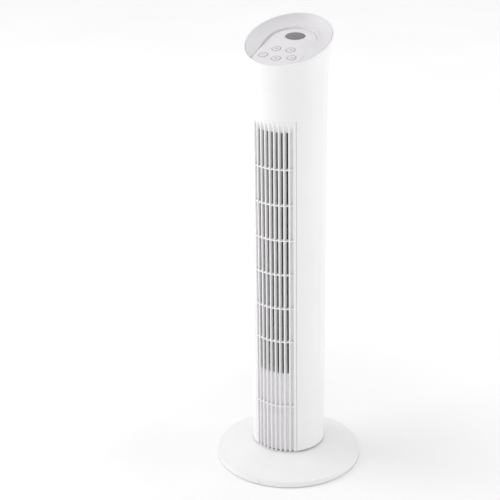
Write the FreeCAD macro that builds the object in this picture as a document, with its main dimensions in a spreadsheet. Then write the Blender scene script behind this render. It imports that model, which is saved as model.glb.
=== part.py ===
import FreeCAD, Part
import math
import os
import re

import Sketcher
from FreeCAD import Placement, Rotation, Vector

# Tower fan. Frame: +Z up, the front faces -Y, the origin is the centre of the base on the floor.
# Millimetres and degrees.

DOC = FreeCAD.newDocument("TowerFan")
SHEET = DOC.addObject("Spreadsheet::Sheet", "Sizes")

SIZES = {
    # base
    "base_radius": 122.0,
    "base_gap": 1.5,          # rim's height over the floor
    "rim_top": 11.0,
    "rim_fillet": 1.5,
    "base_wall": 2.5,
    "dome_foot": 117.0,       # radius where the dome leaves the rim
    "dome_top_radius": 61.0,
    "dome_top": 31.5,
    "dome_bulge": 420.0,
    "base_hub": 32.5,         # height of the dome's flat middle
    "base_hole": 25.2,
    "half_seam": 0.2,
    "foot_radius": 9.0,
    "foot_height": 3.0,
    "foot_circle": 104.0,
    "plate_top": 4.0,
    "boss_circle": 92.0,
    "boss_radius": 4.0,
    "boss_top": 18.5,
    # screws
    "thread_hole": 1.5,
    "clear_hole": 1.6,
    "screw_seat": 3.6,
    "seat_depth": 1.2,
    # swivel
    "post_radius": 15.0,
    "post_bore": 10.0,
    "post_top": 56.0,
    "post_foot": 34.0,
    "post_collar": 24.6,
    "post_screw_circle": 27.0,
    "collar_top": 32.3,
    "washer_top": 33.8,
    "running_gap": 0.05,
    "turn_hub": 26.0,
    "turn_top": 41.5,
    "turn_hub_top": 44.7,
    "turn_radius": 50.0,
    "turn_screw_circle": 47.0,
    "gear_bottom": 45.0,
    "gear_height": 6.0,
    "gear_module": 1.0,
    "sun_teeth": 54.0,
    "pinion_teeth": 18.0,
    "gear_centres": 36.25,
    "pinion_angle": 135.0,
    "motor_shaft": 2.5,
    "swing_case": 17.5,
    "swing_ear": 20.0,        # distance of the swing motor's screws from its axis
    "ear_plate": 1.6,
    # column
    "shell_wall": 2.4,
    "column_foot": 36.0,
    "column_foot_radius": 61.0,
    "flare_start": 650.0,
    "flare_radius": 63.1,
    "flare_bend": 461.6,
    "flare_end": 764.0,
    "flange_radius": 44.0,
    "flange_top": 38.5,
    "rim_middle": 732.4,      # height of the slanted rim over the axis
    "rim_tilt": 20.0,
    "housing_seam": 81.0,     # angle of the side seams from the front
    "seam_angle": 0.1,
    "grille_half": 37.05,
    "grille_gap": 0.25,
    "grille_top": 619.0,
    "grille_depth": 9.0,
    "groove_pitch": 8.1,
    "groove_width": 5.7,
    "groove_depth": 7.0,
    "groove_end": 617.0,
    "slot_bottom": 180.0,
    "slot_top": 600.0,
    "bar_height": 2.0,
    "bar_pitch": 60.0,
    "bar_recess": 1.0,
    "rear_pitch": 8.0,
    "rear_slot": 3.6,
    "rear_bar": 3.0,
    "access_hole": 3.3,
    "boss_inner": 51.3,
    "screw_x": 54.6,
    # head
    "panel_tilt": 14.0,
    "panel_middle": 724.95,   # height of the panel's face over the axis
    "panel_half": 40.0,
    "panel_straight": 15.6,   # where the panel's round end starts
    "panel_thick": 2.0,
    "panel_step": 2.0,        # how far inside the panel's edge the scoop's slope would start
    "tray_floor": 2.5,
    "scoop_radius": 70.3,
    "scoop_centre": 4.9,
    "window_y": 30.4,
    "window_long": 16.6,
    "window_short": 12.6,
    "button_radius": 7.7,
    "button_flange": 1.4,
    "button_gap": 0.2,
    "button_proud": 0.4,
    "board_top": 12.8,        # depth of the control board's top under the panel's face
    "board_thick": 1.6,
    "board_post": 3.0,
    # air path
    "fan_centre": 6.0,        # distance of the impeller's axis behind the column's axis
    "fan_radius": 42.0,
    "fan_bottom": 182.0,
    "fan_top": 600.0,
    "fan_blades": 24.0,
    "disc_thick": 1.6,
    "duct_floor_bottom": 172.0,
    "duct_ceiling_bottom": 606.0,
    "duct_plate": 3.0,
    "shaft_radius": 4.0,
    "pin_radius": 3.0,
    "hub_radius": 9.0,
    "hub_height": 16.0,
    "motor_radius": 32.0,
    "motor_bottom": 118.0,
    "motor_top": 165.0,
    "motor_wall": 1.5,
    "bearing_radius": 7.0,
    "mount_circle": 24.0,
    "wires_x": 42.0,
    "wires_y": 34.0,
    "gland_height": 62.0,
    "gland_bore": 3.5,
    "gland_hole": 6.0,
    "wire_hole": 3.5,
}

BUTTONS = {
    "power_button": ("0", "-44.3"),
    "speed_button": ("11.7", "-14.9"),
    "timer_button": ("-12.5", "-14.9"),
    "swing_button": ("22.9", "-37.6"),
    "mode_button": ("-24.6", "-37.6"),
}

SCREW_HEIGHTS = ("62", "345", "625")

NODES = []


# ---------------------------------------------------------------- sheet and expressions

def fill_sheet():
    for row, (alias, size) in enumerate(SIZES.items(), start=1):
        SHEET.set(f"A{row}", alias)
        SHEET.set(f"B{row}", str(size))
        SHEET.setAlias(f"B{row}", alias)
    DOC.recompute()


def bound(text):
    """An expression over the sheet's aliases, each of which has an underscore."""
    return re.sub(r"[a-z]+(_[a-z]+)+", r"Sizes.\g<0>", text)


def value(text):
    return float(SHEET.evalExpression(bound(text)))


def node(piece, label):
    piece.Label = label
    NODES.append(piece)
    return piece


def move(piece, x="0", y="0", z="0", turn="0"):
    for key, text in (("x", x), ("y", y), ("z", z)):
        piece.setExpression(f"Placement.Base.{key}", bound(text))
    if turn != "0":
        piece.setExpression("Placement.Rotation.Angle", bound(turn))
    return piece


def cone_radius(height):
    """Outer radius of the column's straight taper at a height, as an expression."""
    slope = "(flare_radius - column_foot_radius) / (flare_start - column_foot)"
    return f"(column_foot_radius + ({height} - column_foot) * {slope})"


# ---------------------------------------------------------------- sketches and features

def body(label):
    return node(DOC.addObject("PartDesign::Body", label), label)


def sketch(piece, role, lift="0"):
    flat = piece.newObject("Sketcher::SketchObject", piece.Name + "Sketch")
    origin_plane = next(f for f in piece.Origin.OriginFeatures if f.Role == role)
    flat.AttachmentSupport = [(origin_plane, "")]
    flat.MapMode = "FlatFace"
    flat.setExpression("AttachmentOffset.Base.z", bound(lift))
    return flat


def pin_point(flat, geometry, end, x, y):
    """Holds a point at two expressions, by its distance from the sketch's axes."""
    for text, kind, axis in ((x, "DistanceX", -2), (y, "DistanceY", -1)):
        distance = value(text)
        if abs(distance) < 1e-9:
            flat.addConstraint(Sketcher.Constraint("PointOnObject", geometry, end, axis))
            continue
        index = flat.addConstraint(Sketcher.Constraint(kind, -1, 1, geometry, end, distance))
        flat.setExpression(f"Constraints[{index}]", bound(text))


def arc_between(start, end, radius):
    """The shorter arc from start to end; a positive radius keeps its centre on the left."""
    chord = end - start
    reach = math.sqrt(max(radius ** 2 - (chord.Length / 2) ** 2, 0.0))
    left = Vector(-chord.y, chord.x, 0).normalize()
    side = 1 if radius > 0 else -1
    centre = (start + end) / 2 + left * reach * side
    first, last = (start, end) if radius > 0 else (end, start)
    begin = math.atan2(first.y - centre.y, first.x - centre.x)
    finish = math.atan2(last.y - centre.y, last.x - centre.x)
    circle = Part.Circle(centre, Vector(0, 0, 1), abs(radius))
    return Part.ArcOfCircle(circle, begin, finish)


def outline(flat, corners):
    """A closed outline. A corner is (x, y), or (x, y, radius) where an arc leads to it."""
    points = [Vector(value(corner[0]), value(corner[1]), 0) for corner in corners]
    first = flat.GeometryCount
    ends = []
    for index, corner in enumerate(corners):
        start, end = points[index - 1], points[index]
        if len(corner) == 2:
            flat.addGeometry(Part.LineSegment(start, end))
            ends.append((1, 2))
            continue
        radius = value(corner[2])
        arc = flat.addGeometry(arc_between(start, end, radius))
        ends.append((1, 2) if radius > 0 else (2, 1))
        if abs((end - start).Length - 2 * abs(radius)) > 1e-6:
            held = flat.addConstraint(Sketcher.Constraint("Radius", arc, abs(radius)))
            flat.setExpression(f"Constraints[{held}]", bound(f"abs({corner[2]})"))
        else:
            half = "(" + corner[0] + ") - abs(" + corner[2] + ")"
            centre_x = half if end.x > start.x else "(" + corner[0] + ") + abs(" + corner[2] + ")"
            pin_point(flat, arc, 3, centre_x, corner[1])
    for index in range(len(corners)):
        following = (index + 1) % len(corners)
        here = (first + index, ends[index][1])
        there = (first + following, ends[following][0])
        flat.addConstraint(Sketcher.Constraint("Coincident", *here, *there))
        pin_point(flat, *here, corners[index][0], corners[index][1])


def rectangle(flat, left, bottom, right, top):
    outline(flat, [(left, bottom), (right, bottom), (right, top), (left, top)])


def circle(flat, x, y, radius):
    centre = Vector(value(x), value(y), 0)
    ring = flat.addGeometry(Part.Circle(centre, Vector(0, 0, 1), value(radius)))
    pin_point(flat, ring, 3, x, y)
    held = flat.addConstraint(Sketcher.Constraint("Radius", ring, value(radius)))
    flat.setExpression(f"Constraints[{held}]", bound(radius))


def circle_of(flat, reach, count, start, radius, y="0"):
    """Circles evenly round a larger circle, the first at an angle."""
    for turn in range(count):
        angle = start + turn * 360 // count
        circle(flat, f"{reach} * cos({angle})", f"{y} + {reach} * sin({angle})", radius)


def feature(piece, kind, flat, **settings):
    made = piece.newObject("PartDesign::" + kind, piece.Name + kind)
    made.Profile = flat
    for key, setting in settings.items():
        if isinstance(setting, str) and key in ("Length", "Angle"):
            made.setExpression(key, bound(setting))
        else:
            setattr(made, key, setting)
    return made


def pad(piece, flat, length, **settings):
    return feature(piece, "Pad", flat, Length=length, **settings)


def pocket(piece, flat, length, **settings):
    return feature(piece, "Pocket", flat, Length=length, **settings)


def revolve(piece, flat, angle="360", kind="Revolution", midplane=False):
    made = feature(piece, kind, flat, ReferenceAxis=(flat, ["V_Axis"]), Midplane=midplane)
    made.setExpression("Angle", bound(angle))
    return made


def row_of(piece, first, flat, length, count):
    rows = piece.newObject("PartDesign::LinearPattern", piece.Name + "Row")
    rows.Originals = [first]
    rows.Direction = (flat, ["H_Axis"])
    rows.setExpression("Length", bound(length))
    rows.Occurrences = count
    piece.Tip = rows


def turned(label, corners, **place):
    """A piece turned about its own Z axis from a half section of radius and height."""
    piece = body(label)
    flat = sketch(piece, "XZ_Plane")
    outline(flat, corners)
    revolve(piece, flat)
    return move(piece, **place)


def ring(label, inner, outer, bottom, top, **place):
    return turned(label, [(inner, bottom), (outer, bottom), (outer, top), (inner, top)], **place)


# ---------------------------------------------------------------- plain solids and booleans

def rod(radius, height, x="0", y="0", z="0"):
    piece = DOC.addObject("Part::Cylinder", "Rod")
    piece.setExpression("Radius", bound(radius))
    piece.setExpression("Height", bound(height))
    return move(piece, x, y, z)


def block(length, width, height, x="0", y="0", z="0"):
    """A box with its lowest corner at x, y, z."""
    piece = DOC.addObject("Part::Box", "Block")
    for key, text in (("Length", length), ("Width", width), ("Height", height)):
        piece.setExpression(key, bound(text))
    return move(piece, x, y, z)


def oval(long, short, height, x, y, z):
    """An upright oval prism, its lower face centred at x, y, z."""
    edge = DOC.addObject("Part::Ellipse", "Oval")
    edge.setExpression("MajorRadius", bound(long))
    edge.setExpression("MinorRadius", bound(short))
    prism = DOC.addObject("Part::Extrusion", "OvalPrism")
    prism.Base = edge
    prism.DirMode = "Custom"
    prism.Dir = Vector(0, 0, 1)
    prism.Solid = True
    prism.setExpression("LengthFwd", bound(height))
    return move(prism, x, y, z)


def fuse(*pieces):
    joined = DOC.addObject("Part::MultiFuse", "Joined")
    joined.Shapes = list(pieces)
    return joined


def cut(base, *tools):
    left = DOC.addObject("Part::Cut", "Left")
    left.Base = base
    left.Tool = fuse(*tools) if len(tools) > 1 else tools[0]
    return left


def group(label, pieces):
    several = DOC.addObject("Part::Compound", "Group")
    several.Links = list(pieces)
    return node(several, label)


def screw(shank, length, head, head_height):
    """A pan-head screw that points down, with the underside of its head at the origin."""
    return fuse(rod(shank, length, z=f"-({length})"), rod(head, head_height))


def placed(piece, base, rotation=Rotation()):
    piece.Placement = Placement(base, rotation)
    return piece


def polar(radius, angle, z=0.0):
    return Vector(radius * math.cos(math.radians(angle)), radius * math.sin(math.radians(angle)), z)


UPSIDE_DOWN = Rotation(Vector(1, 0, 0), 180)


# ---------------------------------------------------------------- base

def base_half(label, side):
    """One half of the weighted base's skin, with its three screw bosses."""
    piece = body(label)
    flat = sketch(piece, "XZ_Plane")
    outline(flat, [
        ("base_hole", "base_hub - base_wall"),
        ("dome_top_radius", "dome_top - base_wall"),
        ("dome_foot", "rim_top - base_wall + 0.6", "-dome_bulge"),
        ("base_radius - base_wall", "rim_top - base_wall"),
        ("base_radius - base_wall", "base_gap"),
        ("base_radius", "base_gap"),
        ("base_radius", "rim_top - rim_fillet"),
        ("base_radius - rim_fillet", "rim_top", "rim_fillet"),
        ("dome_foot", "rim_top + 0.6"),
        ("dome_top_radius", "dome_top", "dome_bulge"),
        ("base_hole", "base_hub"),
    ])
    revolve(piece, flat)
    flat = sketch(piece, "XY_Plane")
    reach = "2 * base_radius"
    if side > 0:
        rectangle(flat, f"-({reach})", f"-({reach})", "half_seam / 2", reach)
    else:
        rectangle(flat, "-half_seam / 2", f"-({reach})", reach, reach)
    pocket(piece, flat, "100", Reversed=True)
    flat = sketch(piece, "XY_Plane", "plate_top")
    for angle in (-60, 0, 60):
        across = f"{side} * boss_circle * cos({angle})"
        circle(flat, across, f"boss_circle * sin({angle})", "boss_radius")
    pad(piece, flat, "boss_top - plate_top")
    flat = sketch(piece, "XY_Plane", "plate_top")
    for angle in (-60, 0, 60):
        across = f"{side} * boss_circle * cos({angle})"
        circle(flat, across, f"boss_circle * sin({angle})", "thread_hole")
    pocket(piece, flat, "10", Reversed=True)
    if side > 0:
        flat = sketch(piece, "XY_Plane", "base_gap")
        rectangle(flat, "-3", "-base_radius - 2", "1.2", "-base_radius + 0.7")
        pocket(piece, flat, "rim_top", Reversed=True)
    return piece


def base_plate():
    piece = body("base_plate")
    flat = sketch(piece, "XY_Plane", "base_gap")
    circle(flat, "0", "0", "base_radius - base_wall - 0.2")
    pad(piece, flat, "plate_top - base_gap")
    flat = sketch(piece, "XY_Plane", "base_gap")
    circle_of(flat, "foot_circle", 6, 30, "foot_radius")
    pocket(piece, flat, "foot_height - base_gap", Reversed=True)
    flat = sketch(piece, "XY_Plane")
    circle_of(flat, "boss_circle", 6, 0, "clear_hole")
    circle_of(flat, "post_screw_circle", 4, 45, "clear_hole")
    circle(flat, "0", "0", "post_bore")
    pocket(piece, flat, "20", Reversed=True)
    flat = sketch(piece, "XY_Plane")
    circle_of(flat, "boss_circle", 6, 0, "screw_seat")
    circle_of(flat, "post_screw_circle", 4, 45, "screw_seat")
    pocket(piece, flat, "base_gap + seat_depth", Reversed=True)


def rubber_feet():
    pads = []
    for foot in range(6):
        x = f"foot_circle * cos({30 + 60 * foot})"
        y = f"foot_circle * sin({30 + 60 * foot})"
        pads.append(rod("foot_radius", "foot_height", x, y))
    group("rubber_feet", pads)


def base_screws():
    seat = value("base_gap + seat_depth")
    long_ones = []
    short_ones = []
    for turn in range(6):
        place = polar(value("boss_circle"), 60 * turn, seat)
        long_ones.append(placed(screw("thread_hole", "11", "3.2", "seat_depth"), place, UPSIDE_DOWN))
    for turn in range(4):
        place = polar(value("post_screw_circle"), 45 + 90 * turn, seat)
        short_ones.append(placed(screw("thread_hole", "4", "3.2", "seat_depth"), place, UPSIDE_DOWN))
    group("base_screws", long_ones)
    group("post_screws", short_ones)


def swivel_post():
    piece = turned("swivel_post", [
        ("post_bore", "plate_top"), ("post_foot", "plate_top"), ("post_foot", "plate_top + 3"),
        ("post_radius", "plate_top + 3"), ("post_radius", "collar_top - 5"),
        ("post_collar", "collar_top - 5"), ("post_collar", "collar_top"),
        ("post_radius", "collar_top"), ("post_radius", "post_top"), ("post_bore", "post_top"),
    ])
    flat = sketch(piece, "XY_Plane")
    circle_of(flat, "post_screw_circle", 4, 45, "thread_hole")
    pocket(piece, flat, "plate_top + 3.5", Reversed=True)


# ---------------------------------------------------------------- swivel gears

def involute(base, roll):
    """A point of the involute of the base circle, unrolled by an angle in radians."""
    x = base * (math.cos(roll) + roll * math.sin(roll))
    y = base * (math.sin(roll) - roll * math.cos(roll))
    return Vector(x, y, 0)


def spun(point, angle):
    return Rotation(Vector(0, 0, 1), math.degrees(angle)).multVec(point)


def spline(points):
    curve = Part.BSplineCurve()
    curve.interpolate(points)
    return curve.toShape()


def gear(label, teeth_alias, bore):
    """A 20 degree involute spur gear, its first tooth centred on +X."""
    module = value("gear_module")
    teeth = int(value(teeth_alias))
    pitch = module * teeth / 2
    base = pitch * math.cos(math.radians(20))
    tip = pitch + module
    root = pitch - 1.25 * module
    tip_roll = math.sqrt((tip / base) ** 2 - 1)
    start_roll = math.sqrt(max((root / base) ** 2 - 1, 0.0))
    pitch_polar = math.tan(math.radians(20)) - math.radians(20)
    half_tooth = math.pi / (2 * teeth) + pitch_polar
    flank = [involute(base, start_roll + (tip_roll - start_roll) * step / 6) for step in range(7)]
    lower = [spun(point, -half_tooth) for point in flank]
    upper = [Vector(point.x, -point.y, 0) for point in reversed(lower)]
    edges = []
    for tooth in range(teeth):
        turn = 2 * math.pi * tooth / teeth
        rising = [spun(point, turn) for point in lower]
        falling = [spun(point, turn) for point in upper]
        foot = Vector(rising[0]).normalize() * root
        heel = Vector(falling[-1]).normalize() * root
        next_foot = spun(Vector(lower[0]).normalize() * root, turn + 2 * math.pi / teeth)
        middle = spun(Vector(tip, 0, 0), turn)
        valley = spun(Vector(root, 0, 0), turn + math.pi / teeth)
        if foot.distanceToPoint(rising[0]) > 1e-3:
            edges.append(Part.makeLine(foot, rising[0]))
        edges.append(spline(rising))
        edges.append(Part.Arc(rising[-1], middle, falling[0]).toShape())
        edges.append(spline(falling))
        if heel.distanceToPoint(falling[-1]) > 1e-3:
            edges.append(Part.makeLine(falling[-1], heel))
        edges.append(Part.Arc(heel, valley, next_foot).toShape())
    blank = Part.Face(Part.Wire(Part.__sortEdges__(edges))).extrude(Vector(0, 0, value("gear_height")))
    shape = blank.cut(Part.makeCylinder(value(bore), value("gear_height")))
    wheel = DOC.addObject("Part::Feature", label)
    wheel.Shape = shape
    return node(wheel, label)


def swivel_gears():
    sun = gear("sun_gear", "sun_teeth", "post_radius")
    move(sun, z="gear_bottom", turn="pinion_angle")
    pinion = gear("swing_pinion", "pinion_teeth", "motor_shaft")
    x = "gear_centres * cos(pinion_angle)"
    y = "gear_centres * sin(pinion_angle)"
    move(pinion, x, y, "gear_bottom", turn="pinion_angle + 180 / pinion_teeth")
    ring("retaining_ring", "post_radius", "post_radius + 3.5", "gear_bottom + gear_height",
         "gear_bottom + gear_height + 1.4")
    ring("thrust_washer", "post_radius + 0.3", "post_collar - 0.6", "collar_top", "washer_top")
    shaft = rod("motor_shaft", "15", x, y, "gear_bottom")
    node(shaft, "swing_shaft")


# ---------------------------------------------------------------- foot of the column

def turntable():
    piece = turned("turntable", [
        ("post_radius + running_gap", "washer_top"), ("turn_hub", "washer_top"),
        ("turn_hub", "flange_top"), ("turn_radius", "flange_top"), ("turn_radius", "turn_top"),
        ("turn_hub - 4", "turn_top"), ("turn_hub - 4", "turn_hub_top"),
        ("post_radius + running_gap", "turn_hub_top"),
    ])
    flat = sketch(piece, "XY_Plane")
    circle_of(flat, "turn_screw_circle", 6, 0, "thread_hole")
    pocket(piece, flat, "turn_top - 0.5", Reversed=True)


def turntable_screws():
    screws = []
    for turn in range(6):
        place = polar(value("turn_screw_circle"), 60 * turn, value("column_foot"))
        screws.append(placed(screw("thread_hole", "5", "2.8", "seat_depth"), place, UPSIDE_DOWN))
    group("turntable_screws", screws)


def swing_drive():
    """The geared motor that turns the pinion, on a bridge over the sun gear."""
    deck = "gear_bottom + gear_height + 0.8"
    case_bottom = f"({deck} + ear_plate)"
    sides = ("-swing_ear", "swing_ear")
    bridge = [block("20", "2 * swing_ear + 8", "ear_plate", "gear_centres - 10", "-swing_ear - 4", deck)]
    holes = [rod("6", "20", "gear_centres", "0", "gear_bottom")]
    for side in sides:
        bridge.append(rod("3.5", f"{deck} - turn_top", "gear_centres", side, "turn_top"))
        holes.append(rod("thread_hole", "20", "gear_centres", side, "turn_top + 2"))
    node(move(cut(fuse(*bridge), *holes), turn="pinion_angle"), "swing_motor_bracket")
    case = [rod("swing_case", "16", "gear_centres", "0", case_bottom)]
    ear_start = ("gear_centres - 4", "-swing_ear - 4", case_bottom)
    case.append(block("8", "2 * swing_ear + 8", "ear_plate", *ear_start))
    bores = [rod("motor_shaft + running_gap", "20", "gear_centres", "0", "gear_bottom - 4")]
    screws = []
    for side in sides:
        bores.append(rod("thread_hole", "20", "gear_centres", side, "turn_top + 2"))
        place = Vector(value("gear_centres"), value(side), value(f"{case_bottom} + ear_plate"))
        screws.append(placed(screw("thread_hole", "10", "2.3", "1.8"), place))
    node(move(cut(fuse(*case), *bores), turn="pinion_angle"), "swing_motor")
    move(group("swing_motor_screws", screws), turn="pinion_angle")


def power_board():
    """The mains board, which stands on the turntable, with its relay, filter and terminals."""
    pieces = [block("1.6", "48", "52", "38", "-24", "turn_top")]
    pieces.append(block("12", "16", "14", "26", "-20", "turn_top + 30"))
    pieces.append(block("9", "14", "18", "29", "4", "turn_top + 26"))
    pieces.append(block("8", "30", "8", "30", "-15", "turn_top + 8"))
    node(fuse(*pieces), "power_board")


def cord_gland():
    """The bushing that the mains lead comes out through, low on the back."""
    piece = turned("cord_gland", [
        ("gland_bore", "-11"), ("9", "-11"), ("9", "-5"), ("5.9", "-5"), ("5.9", "0.4"),
        ("8", "0.4"), ("8", "2.4"), ("gland_bore", "2.4"),
    ])
    piece.setExpression("Placement.Base.y", bound("column_foot_radius + 0.2"))
    piece.setExpression("Placement.Base.z", bound("gland_height"))
    piece.Placement.Rotation = Rotation(Vector(1, 0, 0), -90)


# ---------------------------------------------------------------- column

def wall_section(side):
    """Half section of the column's wall: foot flange, taper and flare. Side is -1 in front, 1 behind."""
    def at(radius):
        return f"{side} * ({radius})"
    out_end = "flare_radius + flare_bend - sqrt(flare_bend ^ 2 - (flare_end - flare_start) ^ 2)"
    return [
        (at("flange_radius"), "column_foot"),
        (at("column_foot_radius"), "column_foot"),
        (at("flare_radius"), "flare_start"),
        (at(out_end), "flare_end", f"{-side} * flare_bend"),
        (at(f"{out_end} - shell_wall"), "flare_end"),
        (at("flare_radius - shell_wall"), "flare_start", f"{side} * flare_bend"),
        (at("column_foot_radius - shell_wall"), "flange_top"),
        (at("flange_radius"), "flange_top"),
    ]


def slant_cut(piece):
    """Cuts the top off along the slanted rim."""
    flat = sketch(piece, "YZ_Plane")
    outline(flat, [
        ("-100", "rim_middle - 100 * tan(rim_tilt)"), ("100", "rim_middle + 100 * tan(rim_tilt)"),
        ("100", "900"), ("-100", "900"),
    ])
    pocket(piece, flat, "300", Midplane=True)


def screw_lugs(piece, lift, length, wall_edge):
    """Lugs inside the wall, in a pair at each screw height, from y = -lift towards the front."""
    for height in SCREW_HEIGHTS:
        flat = sketch(piece, "XZ_Plane", lift)
        outer = f"({cone_radius(height)} - shell_wall - {wall_edge})"
        rectangle(flat, "boss_inner", f"{height} - 4", outer, f"{height} + 4")
        rectangle(flat, f"-{outer}", f"{height} - 4", "-boss_inner", f"{height} + 4")
        pad(piece, flat, length)


def screw_bores(piece, radius, lift, length):
    flat = sketch(piece, "XZ_Plane", lift)
    for height in SCREW_HEIGHTS:
        for side in ("-1", "1"):
            circle(flat, f"{side} * screw_x", height, radius)
    pocket(piece, flat, length)


def foot_holes(piece):
    flat = sketch(piece, "XY_Plane")
    circle_of(flat, "turn_screw_circle", 6, 0, "clear_hole")
    pocket(piece, flat, "flange_top + 0.1", Reversed=True)


def front_housing():
    piece = body("front_housing")
    flat = sketch(piece, "YZ_Plane")
    outline(flat, wall_section(-1))
    revolve(piece, flat, "2 * (housing_seam - seam_angle)", midplane=True)
    flat = sketch(piece, "XZ_Plane", "20")
    half = "grille_half + grille_gap"
    rectangle(flat, f"-({half})", "flange_top", half, "grille_top + grille_gap")
    pocket(piece, flat, "60", Reversed=True)
    flat = sketch(piece, "XZ_Plane", "turn_radius - 5.5")
    rectangle(flat, f"-({half})", "column_foot - 5", half, "flange_top + 1")
    pocket(piece, flat, "60", Reversed=True)
    slant_cut(piece)
    screw_lugs(piece, "-2", "20", "0.8")
    screw_bores(piece, "thread_hole", "13", "15")
    foot_holes(piece)


def rear_housing():
    piece = body("rear_housing")
    flat = sketch(piece, "YZ_Plane")
    outline(flat, wall_section(1))
    revolve(piece, flat, "2 * (180 - housing_seam - seam_angle)", midplane=True)
    slant_cut(piece)
    flat = sketch(piece, "XZ_Plane")
    left = "-5 * rear_pitch - rear_slot / 2"
    rectangle(flat, left, "slot_bottom", f"{left} + rear_slot", "slot_top")
    slot = pocket(piece, flat, "100")
    row_of(piece, slot, flat, "10 * rear_pitch", 11)
    for bar in range(6):
        height = f"(slot_bottom + {bar + 1} * bar_pitch)"
        flat = sketch(piece, "YZ_Plane")
        skin = cone_radius(height)
        low, high = f"{height} - rear_bar / 2", f"{height} + rear_bar / 2"
        rectangle(flat, f"{skin} - 4", low, f"{skin} - 0.8", high)
        revolve(piece, flat, "96", midplane=True)
    screw_lugs(piece, "-14", "11.8", "0.6")
    screw_bores(piece, "clear_hole", "0", "20")
    flat = sketch(piece, "XZ_Plane", "-14")
    for height in SCREW_HEIGHTS:
        for side in ("-1", "1"):
            circle(flat, f"{side} * screw_x", height, "access_hole")
    pocket(piece, flat, "30")
    flat = sketch(piece, "XZ_Plane", "-40")
    circle(flat, "0", "gland_height", "gland_hole")
    pocket(piece, flat, "40")
    foot_holes(piece)


def housing_screws():
    screws = []
    for height in SCREW_HEIGHTS:
        for side in (-1, 1):
            place = Vector(side * value("screw_x"), 14, float(height))
            forward = Rotation(Vector(1, 0, 0), -90)
            screws.append(placed(screw("thread_hole", "26", "2.9", "2"), place, forward))
    group("housing_screws", screws)


def front_grille():
    """The front insert: upright fins between nine grooves, the middle seven open to the impeller."""
    piece = body("front_grille")
    flat = sketch(piece, "YZ_Plane")
    outline(flat, [
        ("-(column_foot_radius - grille_depth)", "column_foot"),
        ("-column_foot_radius", "column_foot"),
        (f"-{cone_radius('grille_top')}", "grille_top"),
        (f"-({cone_radius('grille_top')} - grille_depth)", "grille_top"),
    ])
    revolve(piece, flat, "120", midplane=True)
    half = "grille_half - grille_gap"
    for left, right in (("-80", f"-({half})"), (half, "80")):
        flat = sketch(piece, "XZ_Plane")
        rectangle(flat, left, "0", right, "grille_top + 10")
        pocket(piece, flat, "100", Reversed=True)
    for lift, top in (("40", "grille_top + 10"), ("turn_radius - 5.2", "flange_top + 1.2")):
        flat = sketch(piece, "XZ_Plane", lift)
        rectangle(flat, "-80", "0", "80", top)
        pocket(piece, flat, "60")
    for groove in range(-4, 5):
        across = f"({groove} * groove_pitch)"
        face = f"-sqrt({cone_radius('groove_end')} ^ 2 - {across} ^ 2)"
        floor_top = f"-sqrt(({cone_radius('slot_top')} - groove_depth) ^ 2 - {across} ^ 2)"
        floor_foot = f"-sqrt((column_foot_radius - groove_depth) ^ 2 - {across} ^ 2)"
        flat = sketch(piece, "YZ_Plane", across)
        outline(flat, [
            ("-80", "column_foot - 4"), (floor_foot, "column_foot - 4"), (floor_top, "slot_top"),
            (face, "groove_end"), ("-80", "groove_end"),
        ])
        pocket(piece, flat, "groove_width", Midplane=True)
    flat = sketch(piece, "XZ_Plane")
    left = "-3 * groove_pitch - groove_width / 2"
    rectangle(flat, left, "slot_bottom", f"{left} + groove_width", "slot_top")
    slot = pocket(piece, flat, "100", Reversed=True)
    row_of(piece, slot, flat, "6 * groove_pitch", 7)
    for bar in range(-1, 7):
        if bar == 0:
            continue
        height = f"(slot_bottom + {bar} * bar_pitch)"
        flat = sketch(piece, "YZ_Plane")
        skin = f"-{cone_radius(height)}"
        low, high = f"{height} - bar_height / 2", f"{height} + bar_height / 2"
        rectangle(flat, f"{skin} + bar_recess", low, f"{skin} + grille_depth - 0.5", high)
        revolve(piece, flat, "2 * 31", midplane=True)


# ---------------------------------------------------------------- head

def panel_frame(piece, x="0", y="0", z="0"):
    """Places a piece by distances along the slanted panel, across it, and off its face."""
    behind = f"({y}) * cos(panel_tilt) - ({z}) * sin(panel_tilt)"
    height = f"panel_middle + ({y}) * sin(panel_tilt) + ({z}) * cos(panel_tilt)"
    move(piece, x, behind, height)
    piece.Placement.Rotation = panel_turn()
    return piece


def panel_turn():
    return Rotation(Vector(1, 0, 0), value("panel_tilt"))


def panel_point(x, y, z=0.0):
    return panel_turn().multVec(Vector(x, y, z)) + Vector(0, 0, value("panel_middle"))


def rim_height(y):
    return value("rim_middle") + y * math.tan(math.radians(value("rim_tilt")))


def throat(gap):
    """Everything inside the flare's wall and under the slanted rim."""
    inset = value("shell_wall") + gap
    bend = value("flare_bend")
    start = Vector(value("flare_radius") - inset, 0, value("flare_start"))
    end_height = value("flare_end")
    swell = bend - math.sqrt(bend ** 2 - (end_height - start.z) ** 2)
    end = Vector(start.x + swell, 0, end_height)
    middle_height = (start.z + end_height) / 2
    half_swell = bend - math.sqrt(bend ** 2 - (middle_height - start.z) ** 2)
    middle = Vector(start.x + half_swell, 0, middle_height)
    edges = [
        Part.makeLine(Vector(0, 0, start.z), start),
        Part.Arc(start, middle, end).toShape(),
        Part.makeLine(end, Vector(0, 0, end_height)),
        Part.makeLine(Vector(0, 0, end_height), Vector(0, 0, start.z)),
    ]
    solid = Part.Face(Part.Wire(edges)).revolve(Vector(0, 0, 0), Vector(0, 0, 1), 360)
    lid = Part.makeBox(300, 300, 200, Vector(-150, -150, 0))
    slant = Rotation(Vector(1, 0, 0), value("rim_tilt"))
    lid.Placement = Placement(Vector(0, 0, value("rim_middle")), slant)
    return solid.cut(lid)


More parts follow.
